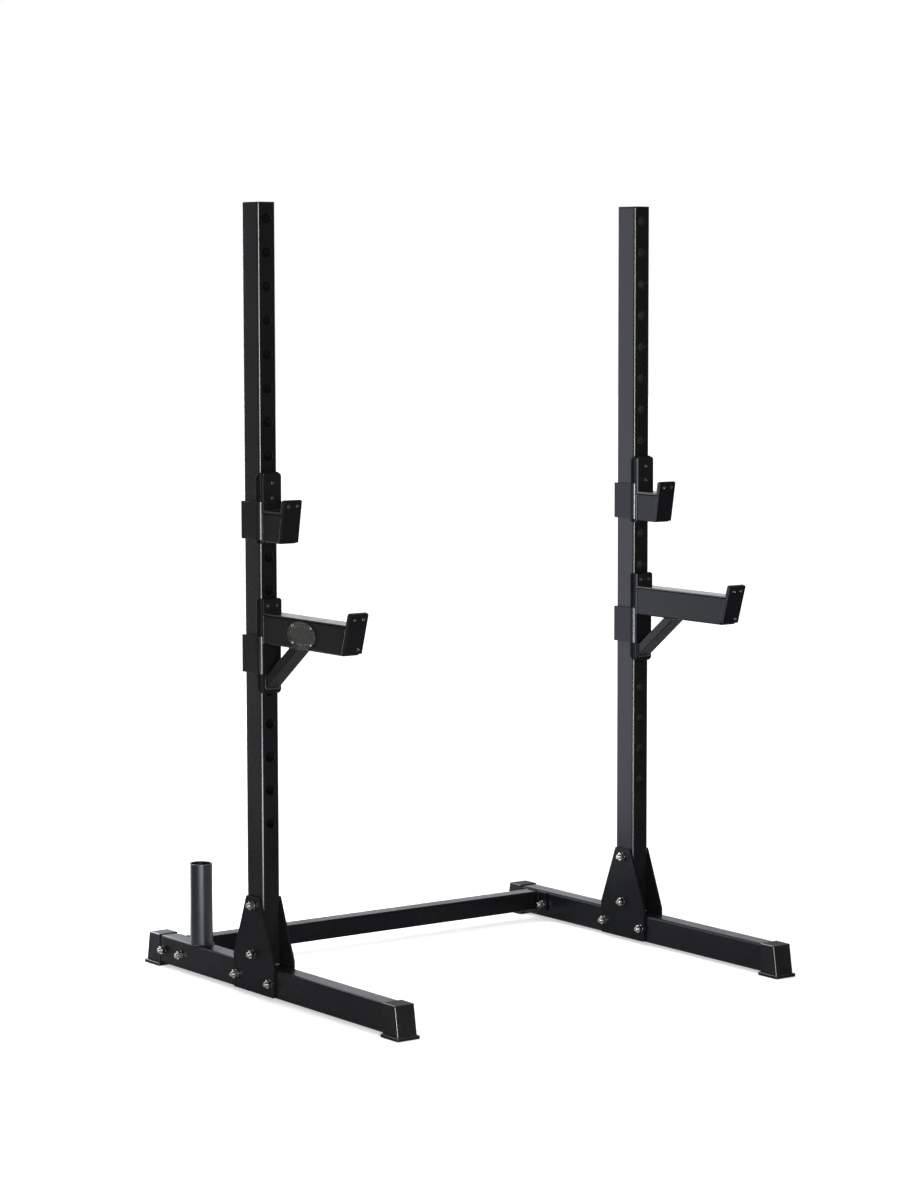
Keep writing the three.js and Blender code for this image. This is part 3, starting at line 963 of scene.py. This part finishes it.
def makeEndPlate(side):
    node = f"beam_plate_{side}"
    low, high = corners(node)
    y, z = middleOf(node)[1:]
    outline = roundedOutline(high.y - low.y, high.z - low.z, beamLook["plateCorner"], x=y, y=z)
    obj = prism(titled("beamPlate", side), "X", outline, low.x, high.x)
    finished(softened(obj, beamLook["plateSoft"]), "frame", [node], "blackPaint")


gussetLook = dict(topWidth=60, shoulder=14, soft=0.9, fillet=4)


def makeGusset(side, letter):
    node = f"gusset_{side}_{letter}"
    low, high = corners(node)
    shoulder = corners(f"rail_{side}")[1].z + gussetLook["shoulder"]
    half = gussetLook["topWidth"] / 2
    outline = [(low.y, low.z), (high.y, low.z), (high.y, shoulder), (centreY + half, high.z)]
    outline += [(centreY - half, high.z), (low.y, shoulder)]
    name = titled("gusset", side) + letter.upper()
    obj = prism(name, "X", filleted(outline, gussetLook["fillet"]), low.x, high.x)
    finished(softened(obj, gussetLook["soft"]), "frame", [node], "thinPaint")


for side in bothSides:
    makeRail(side)
    makeEndPlate(side)
    for end in ("front", "rear"):
        makeFootCap(side, end)
    for letter in ("a", "b"):
        makeGusset(side, letter)
makeCrossbeam(beamLook)
print("base made")

# ---- bolts, nuts and washers

boltLook = dict(
    diameter=12,
    shankSides=24,
    wrench=19,
    hexSteps=48,
    cornerFall=30,  # degrees, where the hexagon's corners are turned off
    faceShare=0.96,  # round face, of the width across the flats
    head=7.5,
    nut=10,
    threadReach=8,  # bare thread past the nut
    washer=20.4,
    washerThickness=1.6,
    washerEdge=0.4,
    washerSides=40,
    gap=0.1,
    threadPitch=1.75,
    threadDepth=0.55,
    threadSteps=24,
    threadSunk=0.5,  # where it starts inside the nut
    ridgeShare=0.42,  # half of the ridge, of the pitch
    ridgeSunk=0.05,
    runOut=0.2,
    tipChamfer=1.2,
)


def hexagonRadii(flat, angles):
    return [flat / cos((a + pi / 6) % (pi / 3) - pi / 6) for a in angles]


def ringOf(radii, angles, heights):
    return [(r * cos(a), r * sin(a), z) for r, a, z in zip(radii, angles, heights)]


def hexRings(look, low, high, chamferLow, chamferHigh):
    flat, count = look["wrench"] / 2, look["hexSteps"]
    inner = flat * look["faceShare"]
    angles = [2 * pi * i / count for i in range(count)]
    reach = hexagonRadii(flat, angles)
    fall = [(r - inner) * tan(radians(look["cornerFall"])) for r in reach]
    return [
        ringOf([inner] * count, angles, [low] * count),
        ringOf(reach, angles, [low + f * chamferLow for f in fall]),
        ringOf(reach, angles, [high - f * chamferHigh for f in fall]),
        ringOf([inner] * count, angles, [high] * count),
    ]


def threadedEnd(name, look, start, tip):
    # one screw ridge, wound round a core with a turned point
    radius, depth, pitch = look["diameter"] / 2, look["threadDepth"], look["threadPitch"]
    steps, half = look["threadSteps"], look["ridgeShare"] * look["threadPitch"]
    vertices, faces = [], []
    count = int((tip - start) / pitch * steps)
    for i in range(count + 1):
        angle = 2 * pi * i / steps
        along = start + pitch * i / steps
        # run-out at both ends, where the ridge sinks into the core
        ends = min(1.0, (along - start) / pitch + look["runOut"], (tip - along) / pitch)
        top = radius - depth + depth * max(ends, 0)
        core = radius - depth - look["ridgeSunk"]
        for r, shift in ((core, -half), (top, 0), (core, half)):
            z = min(max(along + shift, start), tip - look["runOut"])
            vertices.append((r * cos(angle), r * sin(angle), z))
    for i in range(count):
        for j in range(3):
            k = (j + 1) % 3
            faces.append((i * 3 + j, i * 3 + k, (i + 1) * 3 + k, (i + 1) * 3 + j))
    faces += [(0, 1, 2), (count * 3, count * 3 + 1, count * 3 + 2)]
    ridge = coated(meshObject(name, vertices, faces), "zinc")
    core, chamfer = radius - depth, look["tipChamfer"]
    profile = [(0, start), (core, start), (core, tip - chamfer), (core - chamfer, tip), (0, tip)]
    return [ridge, coated(turned(name + "Core", "Z", profile, steps), "zinc")]


def makeBolt(name, look, grip, length):
    # grip: from under the head at Z = 0 to the nut's face, in +Z; length: to the tip
    gap, thick, edge = look["gap"], look["washerThickness"], look["washerEdge"]
    radius, shank = look["washer"] / 2, look["diameter"] / 2
    parts = []
    for z in (-gap - thick, grip + gap):
        ring = [(0, z), (radius - edge, z), (radius, z + edge), (radius, z + thick - edge)]
        ring += [(radius - edge, z + thick), (0, z + thick)]
        parts.append(turned("washer", "Z", ring, look["washerSides"]))
    nutLow, nutHigh = grip + gap + thick, grip + gap + look["nut"]
    parts.append(meshObject("head", *skin(hexRings(look, -gap - look["head"], -gap - thick, 1, 0))))
    parts.append(meshObject("nut", *skin(hexRings(look, nutLow, nutHigh, 1, 1))))
    profile = [(0, -gap), (shank, -gap), (shank, nutHigh), (0, nutHigh)]
    parts.append(turned("shank", "Z", profile, look["shankSides"]))
    for part in parts:
        coated(part, "zinc")
    return united(name, parts + threadedEnd("thread", look, nutHigh - look["threadSunk"], length))


def makeBolts(kind, side, places):
    nodes, look = [f"{kind}_bolt_{side}_{place}" for place in places], boltLook
    low, high = corners(nodes[0])
    headFace = high.x - look["head"] - look["gap"]
    nutFace = low.x + look["threadReach"] + look["nut"] + look["gap"]
    shape = makeBolt("boltShape", look, headFace - nutFace, headFace - low.x)
    points = [((headFace, *middleOf(node)[1:]), (-1, 0, 0)) for node in nodes]
    obj = fastened(titled(kind + "Bolts", side), shape, "zinc", points, seed=11)
    finished(obj, "frame", nodes, "zinc", sharp=28)


for side in bothSides:
    makeBolts("gusset", side, ("top", "middle", "front", "rear"))
    makeBolts("beam", side, ("front", "rear"))
print("bolts made")

# ---- storage tube

storageLook = dict(wall=2.5, rim=0.9, shoulder=0.3, sides=72, weld=2.3, weldOut=0.9, weldSides=60)


def makeStorageTube(look):
    low, high = corners("storage_tube")
    x, y = middleOf("storage_tube")[:2]
    radius, rim = (high.x - low.x) / 2, look["rim"]
    inside, edge = radius - look["wall"], look["rim"] * look["shoulder"]
    profile = [(radius, low.z), (radius, high.z - rim), (radius - edge, high.z - edge)]
    profile += [(radius - rim, high.z), (inside + rim, high.z)]
    profile += [(inside + edge, high.z - edge), (inside, high.z - rim), (inside, low.z)]
    rings = [alongAxis("Z", circle(r, look["sides"], x, y), height) for r, height in profile]
    obj = coated(meshObject("storageTubeBody", *skin(rings, closedLoop=True)), "hammeredPaint")
    path = circle(radius + look["weldOut"], look["weldSides"], x, y)
    path = alongAxis("Z", path, low.z + look["weldOut"])
    seam = welded("storageSeam", path, True, look["weld"], finish="hammeredPaint")
    finished(united("storageTube", [obj, seam]), "frame", ["storage_tube"], "hammeredPaint")


makeStorageTube(storageLook)
print("storage tube made")

# ---- what the hooks and the arms share

holderLook = dict(
    wrapPlate=5,
    wrapBend=12,
    wrapFlange=2,
    wrapBelowPin=29,
    wrapHeight=90,
    bendSteps=10,
    plateSoft=0.7,
    lipSoft=1.1,
    lipCorner=3.5,
    lipFootCorner=1.4,
    linerFillet=2.5,
    linerSteps=4,
    linerBelowLip=2,
    linerLipRound=5,
    linerStations=(0, 0.04, 0.15, 0.33, 0.6, 1),  # across its rounded ends, as shares
    pinEdge=((0, 2.6), (0.2, 2), (1.7, 0.3), (2.4, 0)),  # drawn in, and back from the end
    pinSides=40,
    gap=0.1,
)
# pin: its height over the floor; tubeTop: over the pin; reach: from the back plate's front to
# the lip's foot; lipRise: over the tube's underside; lean: degrees
hookLook = dict(
    pin=1224,
    tubeTop=-54,
    plateTopCorner=10,
    plateFootCorner=1.5,
    reach=78,
    lipRise=2,
    lipLength=103,
    lipThickness=8,
    lean=10,
    linerThickness=5,
    linerRound=8,
)
armLook = dict(
    pin=904,
    tubeTop=24,
    plateTopCorner=2,
    plateFootCorner=10,
    reach=341,
    lipRise=4,
    lipLength=100,
    lipThickness=10,
    lean=17,
    linerThickness=3,
    linerRound=2,
)


def flatStrip(half, web, arc, flange, ear, foot, top, ears, look):
    # the strip before it is bent: across from its middle, and up
    def across(x):
        return web + arc * asin(min((x - web) / (half - web), 1)) / (pi / 2) if x > web else x

    right = roundedOutline(
        2 * half, top - foot, look["plateFootCorner"], look["plateTopCorner"], y=(foot + top) / 2
    )
    right = [(across(x), z) for x, z in right if x > 0]
    count = len(right) // 2
    flangeEnd, earEnd = web + arc + flange, web + arc + ear
    steps = [(flangeEnd, right[count - 1][1]), (flangeEnd, ears[0]), (earEnd, ears[0])]
    steps += [(earEnd, ears[1]), (flangeEnd, ears[1]), (flangeEnd, right[count][1])]
    right = right[:count] + steps + right[count:]
    return right + [(-x, z) for x, z in reversed(right)]


def bentRound(obj, web, arc, bend, front, middle, ears):
    # the flat strip's X becomes the way round the upright and its Y the depth in the plate
    work = bmesh.new()
    work.from_mesh(obj.data)
    count = holderLook["bendSteps"]
    steps = [web + arc * step / count for step in range(count + 1)]
    planes = [((way * x * mm, 0, 0), (1, 0, 0)) for way in (-1, 1) for x in steps]
    planes += [((0, 0, z * mm), (0, 0, 1)) for z in ears]
    for place, facing in planes:
        parts = work.verts[:] + work.edges[:] + work.faces[:]
        bmesh.ops.bisect_plane(
            work, geom=parts, dist=tiny["sliver"], plane_co=place, plane_no=facing
        )
    bmesh.ops.dissolve_degenerate(work, dist=tiny["sliver"], edges=work.edges)
    for vertex in work.verts:
        x, depth = abs(vertex.co.x) / mm, vertex.co.y / mm
        way = 1 if vertex.co.x > 0 else -1
        turn = min(max((x - web) / arc, 0), 1) * pi / 2
        past = max(x - web - arc, 0)
        out = min(x, web) + (bend - depth) * sin(turn)
        back = bend - (bend - depth) * cos(turn) + past
        vertex.co.x = (middle + way * out) * mm
        vertex.co.y = (front + back) * mm
    work.to_mesh(obj.data)
    work.free()


def makeWrap(name, side, body, look):
    low, high = corners(f"{body}_wrap")
    plate, bend = holderLook["wrapPlate"], holderLook["wrapBend"]
    half = (high.x - low.x) / 2
    web, arc = half - bend, (bend - plate / 2) * pi / 2
    ear = high.y - low.y - bend
    earTop = look["pin"] - holderLook["wrapBelowPin"]
    ears = (earTop - holderLook["wrapHeight"], earTop)
    flange = holderLook["wrapFlange"]
    outline = flatStrip(half, web, arc, flange, ear, low.z, high.z, ears, look)
    obj = softened(prism(name, "Y", outline, 0, plate), holderLook["plateSoft"])
    bentRound(obj, web, arc, bend, low.y, centreX[side], ears)
    finished(obj, body, [f"{body}_wrap"], "thinPaint", glossyHeights=ears)


def makeBackPlate(name, side, body, look):
    node = f"{body}_plate"
    low, high = corners(node)
    size = (high.x - low.x, high.z - low.z, look["plateFootCorner"], look["plateTopCorner"])
    outline = roundedOutline(*size, x=centreX[side], y=middleOf(node)[2])
    obj = softened(prism(name, "Y", outline, low.y, high.y), holderLook["plateSoft"])
    finished(obj, body, [node], "thinPaint")


def makePin(name, side, body, look):
    node = f"{body}_pin"
    low, high = corners(node)
    radius = (high.z - low.z) / 2
    profile = [(0, low.y), (radius, low.y)]
    profile += [(radius - inset, high.y - back) for inset, back in holderLook["pinEdge"]]
    profile.append((0, high.y))
    place = (centreX[side], 0, middleOf(node)[2])
    obj = turned(name, "Y", profile, holderLook["pinSides"], place)
    finished(obj, body, [node], "thinPaint")


def lipPlace(body, look, along, inward):
    # Y and Z in the lip's side view
    lean = radians(look["lean"])
    footY = corners(f"{body}_plate")[0].y - look["reach"]
    footZ = look["pin"] + look["tubeTop"] - tubeSection["depth"] + look["lipRise"]
    y = footY - along * sin(lean) + inward * cos(lean)
    return y, footZ + along * cos(lean) + inward * sin(lean)


def besideLip(body, look, inward, height):
    # Y at that height, on the plane that lies so far inward of the lip's outer face
    y, z = lipPlace(body, look, 0, inward)
    return y - (height - z) * tan(radians(look["lean"]))


def makeLip(name, side, body, look):
    size = (tubeSection["width"], look["lipLength"], holderLook["lipFootCorner"])
    outline = roundedOutline(*size, holderLook["lipCorner"], y=look["lipLength"] / 2)
    rings = []
    for inward in (0, look["lipThickness"]):
        rings.append([(centreX[side] + x, *lipPlace(body, look, u, inward)) for x, u in outline])
    obj = softened(meshObject(name, *skin(rings)), holderLook["lipSoft"])
    finished(obj, body, [f"{body}_lip"], "thinPaint")


# where the tube's welds lie: in from its corners, sides and ends
seamLook = dict(
    plateSide=0.9,
    below=0.5,
    footInset=5,
    sideInset=0.2,
    sideEnds=3,
    sideBead=2.3,
    lipInset=0.7,
    lipEnds=7,
)


def makeCarryingTube(name, side, body, look):
    node, seam = f"{body}_tube", seamLook
    low, high = corners(node)
    middle = centreX[side]
    outer, bore = boxOutlines(**tubeSection, x=middle, y=middleOf(node)[2])

    def slanted(outline):
        inward = look["lipThickness"] + holderLook["gap"]
        return [(x, besideLip(body, look, inward, z), z) for x, z in outline]

    rings = [slanted(outer), alongAxis("Y", outer, high.y), alongAxis("Y", bore, high.y)]
    rings.append(slanted(bore))
    parts = [coated(meshObject(name, *skin(rings, closedLoop=True)), "thinPaint")]
    half = tubeSection["width"] / 2
    atPlate, foot = high.y - seam["plateSide"], low.z - seam["below"]
    row = [(middle + way * (half - seam["footInset"]), atPlate, foot) for way in (-1, 1)]
    parts.append(welded("footSeam", row, seed=2))
    for way in (-1, 1):
        x = middle + way * (half - seam["sideInset"])
        path = [(x, atPlate, z) for z in (foot + seam["sideEnds"], high.z - seam["sideEnds"])]
        bead, seed = seam["sideBead"], 8 + way
        parts.append(welded("sideSeam", path, bead=bead, seed=seed, finish="brightWeld"))
        x = middle + way * (half - seam["lipInset"])
        path = slanted([(x, low.z + seam["lipEnds"]), (x, high.z - seam["lipEnds"])])
        path = [(x, y + seam["lipInset"], z) for x, y, z in path]
        parts.append(welded("lipSeam", path, seed=14 + way))
    finished(united(name, parts), body, [node], "thinPaint")


def makeLiner(name, side, body, look):
    # one strip down the back plate, over the tube and up the lip, narrowed at its rounded ends
    high = corners(f"{body}_liner")[1]
    back, thick = high.y, look["linerThickness"]
    seat = look["pin"] + look["tubeTop"] + holderLook["gap"]
    saddle, face = seat + thick, back - thick
    outside = look["lipThickness"] + holderLook["gap"]
    inside = outside + thick
    fillet, steps = holderLook["linerFillet"], holderLook["linerSteps"]
    lean = radians(look["lean"])
    half = tubeSection["width"] / 2

    def narrowing(fromEnd, radius):
        if fromEnd >= radius:
            return half
        return half - radius + sqrt(max(radius**2 - (radius - fromEnd) ** 2, 0))

    pairs = []  # outer point, inner point, half width
    for share in holderLook["linerStations"]:
        down = share * look["linerRound"]
        height, wide = high.z - down, narrowing(down, look["linerRound"])
        pairs.append(((back, height), (face, height), wide))
    for inner in arcPoints(face - fillet, saddle + fillet, fillet, 0, -pi / 2, steps):
        pairs.append(((back, seat), inner, half))
    lipOut = (besideLip(body, look, outside, seat), seat)
    turnY = besideLip(body, look, inside, saddle) + fillet / tan((pi / 2 + lean) / 2)
    for inner in arcPoints(turnY, saddle + fillet, fillet, -pi / 2, -pi + lean, steps):
        pairs.append((lipOut, inner, half))
    lipTop, lipRound = look["lipLength"] - holderLook["linerBelowLip"], holderLook["linerLipRound"]
    for share in reversed(holderLook["linerStations"]):
        up, wide = lipTop - share * lipRound, narrowing(share * lipRound, lipRound)
        pairs.append((lipPlace(body, look, up, outside), lipPlace(body, look, up, inside), wide))
    rings = []
    x = centreX[side]
    for (oy, oz), (iy, iz), w in pairs:
        rings.append([(x - w, oy, oz), (x + w, oy, oz), (x + w, iy, iz), (x - w, iy, iz)])
    finished(meshObject(name, *skin(rings)), body, [f"{body}_liner"], "linerPlastic")


screwLook = dict(
    radius=4.2,
    height=1.6,
    sunk=0.3,
    edge=0.25,
    shares=(0.35, 0.6, 0.85),  # of the way from the edge to the face
    drawnIn=0.42,
    roundness=0.98,
    socket=1.9,
    socketEdge=0.25,
    socketFall=0.2,
    depth=1.2,
    drill=0.05,
    steps=36,
)


def makeScrew(look):
    # button head with a hexagon socket, its face towards +Z
    count, radius, top = look["steps"], look["radius"], look["height"]
    angles = [2 * pi * i / count for i in range(count)]
    hexagon = hexagonRadii(look["socket"], angles)
    floor = top - look["depth"]
    levels = [([radius] * count, -look["sunk"]), ([radius] * count, look["edge"])]
    for share in look["shares"]:
        rise = top * sqrt(1 - (1 - share) ** 2) * look["roundness"]
        levels.append(([radius * (1 - share * look["drawnIn"])] * count, rise))
    levels += [([h + look["socketEdge"] for h in hexagon], top), (hexagon, top - look["socketFall"])]
    levels += [(hexagon, floor), ([look["drill"]] * count, floor - look["socketFall"])]
    rings = [ringOf(radii, angles, [z] * count) for radii, z in levels]
    return coated(meshObject("screwShape", *skin(rings)), "screwSteel")


def makeScrews(name, side, body, look, plateScrews, lipScrews):
    # plateScrews: X and height from the pin; lipScrews: X and distance below the lip's top
    lean = radians(look["lean"])
    face = corners(f"{body}_liner")[1].y - look["linerThickness"]
    places = []
    for x, up in plateScrews:
        places.append(((centreX[side] + x, face, look["pin"] + up), (0, -1, 0)))
    for x, down in lipScrews:
        y, z = lipPlace(body, look, look["lipLength"] - down, 0)
        places.append(((centreX[side] + x, y, z), (0, -cos(lean), -sin(lean))))
    obj = fastened(name, makeScrew(screwLook), "screwSteel", places, seed=21)
    finished(obj, body, [], "screwSteel", sharp=30)


braceLook = dict(
    width=40,
    depth=25,
    wall=2.5,
    corner=4,
    degrees=37,
    footRise=12,
    weldOut=0.5,
    weldCorner=5,
    weldInset=0.6,
    footBead=2.0,
    topBead=1.5,
)


def makeBrace(name, side, body, look):
    angle, middle = radians(look["degrees"]), look["depth"] / 2
    plateY, under = corners(f"{body}_brace")[1].yz
    footZ = corners(f"{body}_plate")[0].z + look["footRise"]

    def atPlate(depth):
        return plateY, footZ + depth / cos(angle)

    def atTube(depth):
        return plateY - (under - atPlate(depth)[1]) / tan(angle), under

    def ring(outline, end):
        return [(centreX[side] + x, *end(depth)) for x, depth in outline]

    outer, bore = boxOutlines(look["width"], look["depth"], look["wall"], look["corner"], 0, middle)
    rings = [ring(outer, atPlate), ring(outer, atTube), ring(bore, atTube), ring(bore, atPlate)]
    obj = coated(meshObject(name, *skin(rings, closedLoop=True)), "thinPaint")
    grow, inset = 2 * look["weldOut"], look["weldInset"]
    seam = roundedOutline(look["width"] + grow, look["depth"] + grow, look["weldCorner"], y=middle)
    lower = [(x, y - inset, z) for x, y, z in ring(seam, atPlate)]
    upper = [(x, y, z - inset) for x, y, z in ring(seam, atTube)]
    parts = [obj, welded("braceFootSeam", lower, True, look["footBead"], 4, "brightWeld")]
    parts.append(welded("braceTopSeam", upper, True, look["topBead"], 6))
    finished(united(name, parts), body, [f"{body}_brace"], "thinPaint")


holderParts = dict(
    Wrap=makeWrap,
    Plate=makeBackPlate,
    Pin=makePin,
    Tube=makeCarryingTube,
    Lip=makeLip,
    Liner=makeLiner,
)
holders = dict(
    hook=(hookLook, [(0, 16), (0, -20)], [(-12, 14), (12, 14)]),
    arm=(armLook, [(-13, 44), (13, 44)], [(-12, 14), (12, 14), (12, 88)]),
)
for side in bothSides:
    for kind, (look, plateScrews, lipScrews) in holders.items():
        body = f"{kind}_{side}"
        name = titled(kind, side)
        for part, make in holderParts.items():
            make(name + part, side, body, look)
        makeScrews(name + "Screws", side, body, look, plateScrews, lipScrews)
    makeBrace(titled("arm", side) + "Brace", side, f"arm_{side}", braceLook)
print("hooks and arms made")

# ---- badge: a bare oval plate with a raised rim and line, held by four rivets

badgeLook = dict(
    rim=((0, 0), (0, 1.4), (0.25, 1.85), (0.7, 2), (2.5, 2), (3.0, 1.8), (3.2, 1.2)),
    line=((9, 1.2), (9.3, 1.55), (9.9, 1.55), (10.2, 1.2), (21, 1.2)),  # both: inset and rise
    field=1.2,
    middle=(3, 0.4),  # last two rings, in mm short of the oval's middle
    rivet=3.4,
    rivetHeight=1.95,  # above the field
    rivetSunk=0.2,
    rivetEdge=0.15,
    rivetSteps=5,
    rivetSides=24,
    rivetAcross=0.33,
    rivetUp=0.31,
    steps=96,
)


def makeBadge(look):
    low, high = corners("badge")
    y, z = middleOf("badge")[1:]
    width, height, field, edge = high.y - low.y, high.z - low.z, look["field"], look["rivetEdge"]

    def oval(inset, rise):
        turns = [2 * pi * i / look["steps"] for i in range(look["steps"])]
        wide, tall = width / 2 - inset, height / 2 - inset
        return [(high.x - rise, y + wide * cos(turn), z + tall * sin(turn)) for turn in turns]

    profile = look["rim"] + look["line"]
    profile += tuple((height / 2 - short, field) for short in look["middle"])
    plate = meshObject("badgePlate", *skin([oval(inset, rise) for inset, rise in profile]))
    coated(plate, "brass")
    radius, sunk = look["rivet"], look["rivetSunk"]
    dome = [(0, -sunk), (radius, -sunk), (radius, edge)]
    for step in range(1, look["rivetSteps"] + 1):
        turn = pi / 2 * step / look["rivetSteps"]
        dome.append((radius * cos(turn), edge + (look["rivetHeight"] - edge) * sin(turn)))
    shape = coated(turned("rivetShape", "Z", dome, look["rivetSides"]), "zinc")
    places = []
    for across in (-1, 1):
        for up in (-1, 1):
            rivetY = y + across * look["rivetAcross"] * width
            rivetZ = z + up * look["rivetUp"] * height
            places.append(((high.x - field, rivetY, rivetZ), (-1, 0, 0)))
    rivets = fastened("badgeRivets", shape, "zinc", places, seed=2)
    finished(united("badgePlateRiveted", [plate, rivets]), "arm_left", ["badge"], "brass", sharp=45)


makeBadge(badgeLook)
print("badge made")

# ---- floor, world and lamps

studioLook = dict(
    floorHalf=30000,
    floorDrop=0.5,
    floorColour=0.72,
    floorRoughness=0.9,
    floorGlow=0.47,  # what the camera sees on top, so that the floor reads white
    whiteFrom=1.1,  # metres out from the stand's middle, where the glow starts to grow
    whiteTo=3.2,
    ambient=0.35,
    backdropWay=(0.50, 0.866, 0.0),
    backdropEdge=(0.1, 0.6),  # how squarely a way must face the backdrop to meet it
    whiteFloor=(0.2, 2.0),  # metres towards the backdrop, where the mirrored floor turns white
)


def shinyRay(tree, path):
    glossy, through = path.outputs["Is Glossy Ray"], path.outputs["Is Transmission Ray"]
    return mathNode(tree, "MAXIMUM", glossy, through)


def makeFloor(look):
    half, z = look["floorHalf"], -look["floorDrop"]
    outline = [(-half, -half, z), (half, -half, z), (half, half, z), (-half, half, z)]
    obj = meshObject("studioFloor", outline, [(0, 1, 2, 3)])
    material = bpy.data.materials.new("studioFloor")
    material.use_nodes = True
    tree = material.node_tree
    shader = tree.nodes["Principled BSDF"]
    shader.inputs["Base Color"].default_value = (*[look["floorColour"]] * 3, 1)
    shader.inputs["Roughness"].default_value = look["floorRoughness"]
    shader.inputs["Specular IOR Level"].default_value = 0.0
    path = addNode(tree, "ShaderNodeLightPath")
    place = addNode(tree, "ShaderNodeTexCoord").outputs["Object"]
    away = addNode(tree, "ShaderNodeVectorMath", {0: place}, operation="LENGTH").outputs["Value"]
    bright = ranged(tree, away, look["whiteFrom"], look["whiteTo"], look["floorGlow"], 1.0)
    behind = ranged(tree, dotProduct(tree, place, look["backdropWay"]), *look["whiteFloor"])
    mirrored = mathNode(tree, "MULTIPLY", shinyRay(tree, path), behind)
    seen = mathNode(tree, "MAXIMUM", path.outputs["Is Camera Ray"], mirrored)
    glow = mathNode(tree, "MULTIPLY", seen, bright)
    light = addNode(tree, "ShaderNodeEmission", {"Strength": glow})
    both = addNode(tree, "ShaderNodeAddShader", {0: shader.outputs[0], 1: light.outputs[0]})
    tree.links.new(both.outputs[0], tree.nodes["Material Output"].inputs["Surface"])
    obj.data.materials.append(material)


def makeWorld(look):
    world = bpy.data.worlds.new("studio")
    scene.world = world
    world.use_nodes = True
    tree = world.node_tree
    path = addNode(tree, "ShaderNodeLightPath")
    way = addNode(tree, "ShaderNodeTexCoord").outputs["Generated"]
    behind = ranged(tree, dotProduct(tree, way, look["backdropWay"]), *look["backdropEdge"])
    mirrored = mathNode(tree, "MULTIPLY", behind, shinyRay(tree, path))
    white = mathNode(tree, "MAXIMUM", path.outputs["Is Camera Ray"], mirrored)
    strength = ranged(tree, white, 0.0, 1.0, look["ambient"], 1.0)
    background = tree.nodes["Background"]
    background.inputs["Color"].default_value = (1, 1, 1, 1)
    tree.links.new(strength, background.inputs["Strength"])


# places and sizes in metres; glow: strength of each lamp's face
softPanels = dict(
    keyStrip=dict(place=(-3.4, -5.9, 1.35), target=(0, 0, 1.1), size=(1.7, 2.7), glow=25.0),
    overheadPanel=dict(place=(0.2, 0.4, 4.6), target=(0.2, 0.4, 0), size=(4.0, 4.0), glow=1.6),
    insidePanel=dict(
        place=(-0.38, 1.20, 1.12),
        target=(0.55, 0.05, 1.12),
        size=(1.0, 2.2),
        glow=7.3,
        tint=(0.93, 0.97, 1.08),
    ),
    lowStrip=dict(place=(-1.60, -1.42, 0.17), target=(-0.56, 0.33, 0.17), size=(1.6, 0.3), glow=13.0),
    backPanel=dict(
        place=(3.3, 4.8, 1.1),
        target=(0, 0.2, 0.1),
        size=(3.4, 1.8),
        glow=0.6,
        tint=(0.88, 0.92, 1.06),
    ),
)


def makePanel(name, look):
    data = bpy.data.lights.new(name, "AREA")
    data.shape = "RECTANGLE"
    data.size, data.size_y = look["size"]
    data.energy = look["glow"] * pi * look["size"][0] * look["size"][1]
    data.color = look.get("tint", (1, 1, 1))
    lamp = bpy.data.objects.new(name, data)
    place = Vector(look["place"])
    turn = (Vector(look["target"]) - place).to_track_quat("-Z", "Y")
    lamp.matrix_world = Matrix.Translation(place) @ turn.to_matrix().to_4x4()
    lamp.visible_camera = False
    scene.collection.objects.link(lamp)


makeFloor(studioLook)
makeWorld(studioLook)
for name, look in softPanels.items():
    makePanel(name, look)
print("studio made")
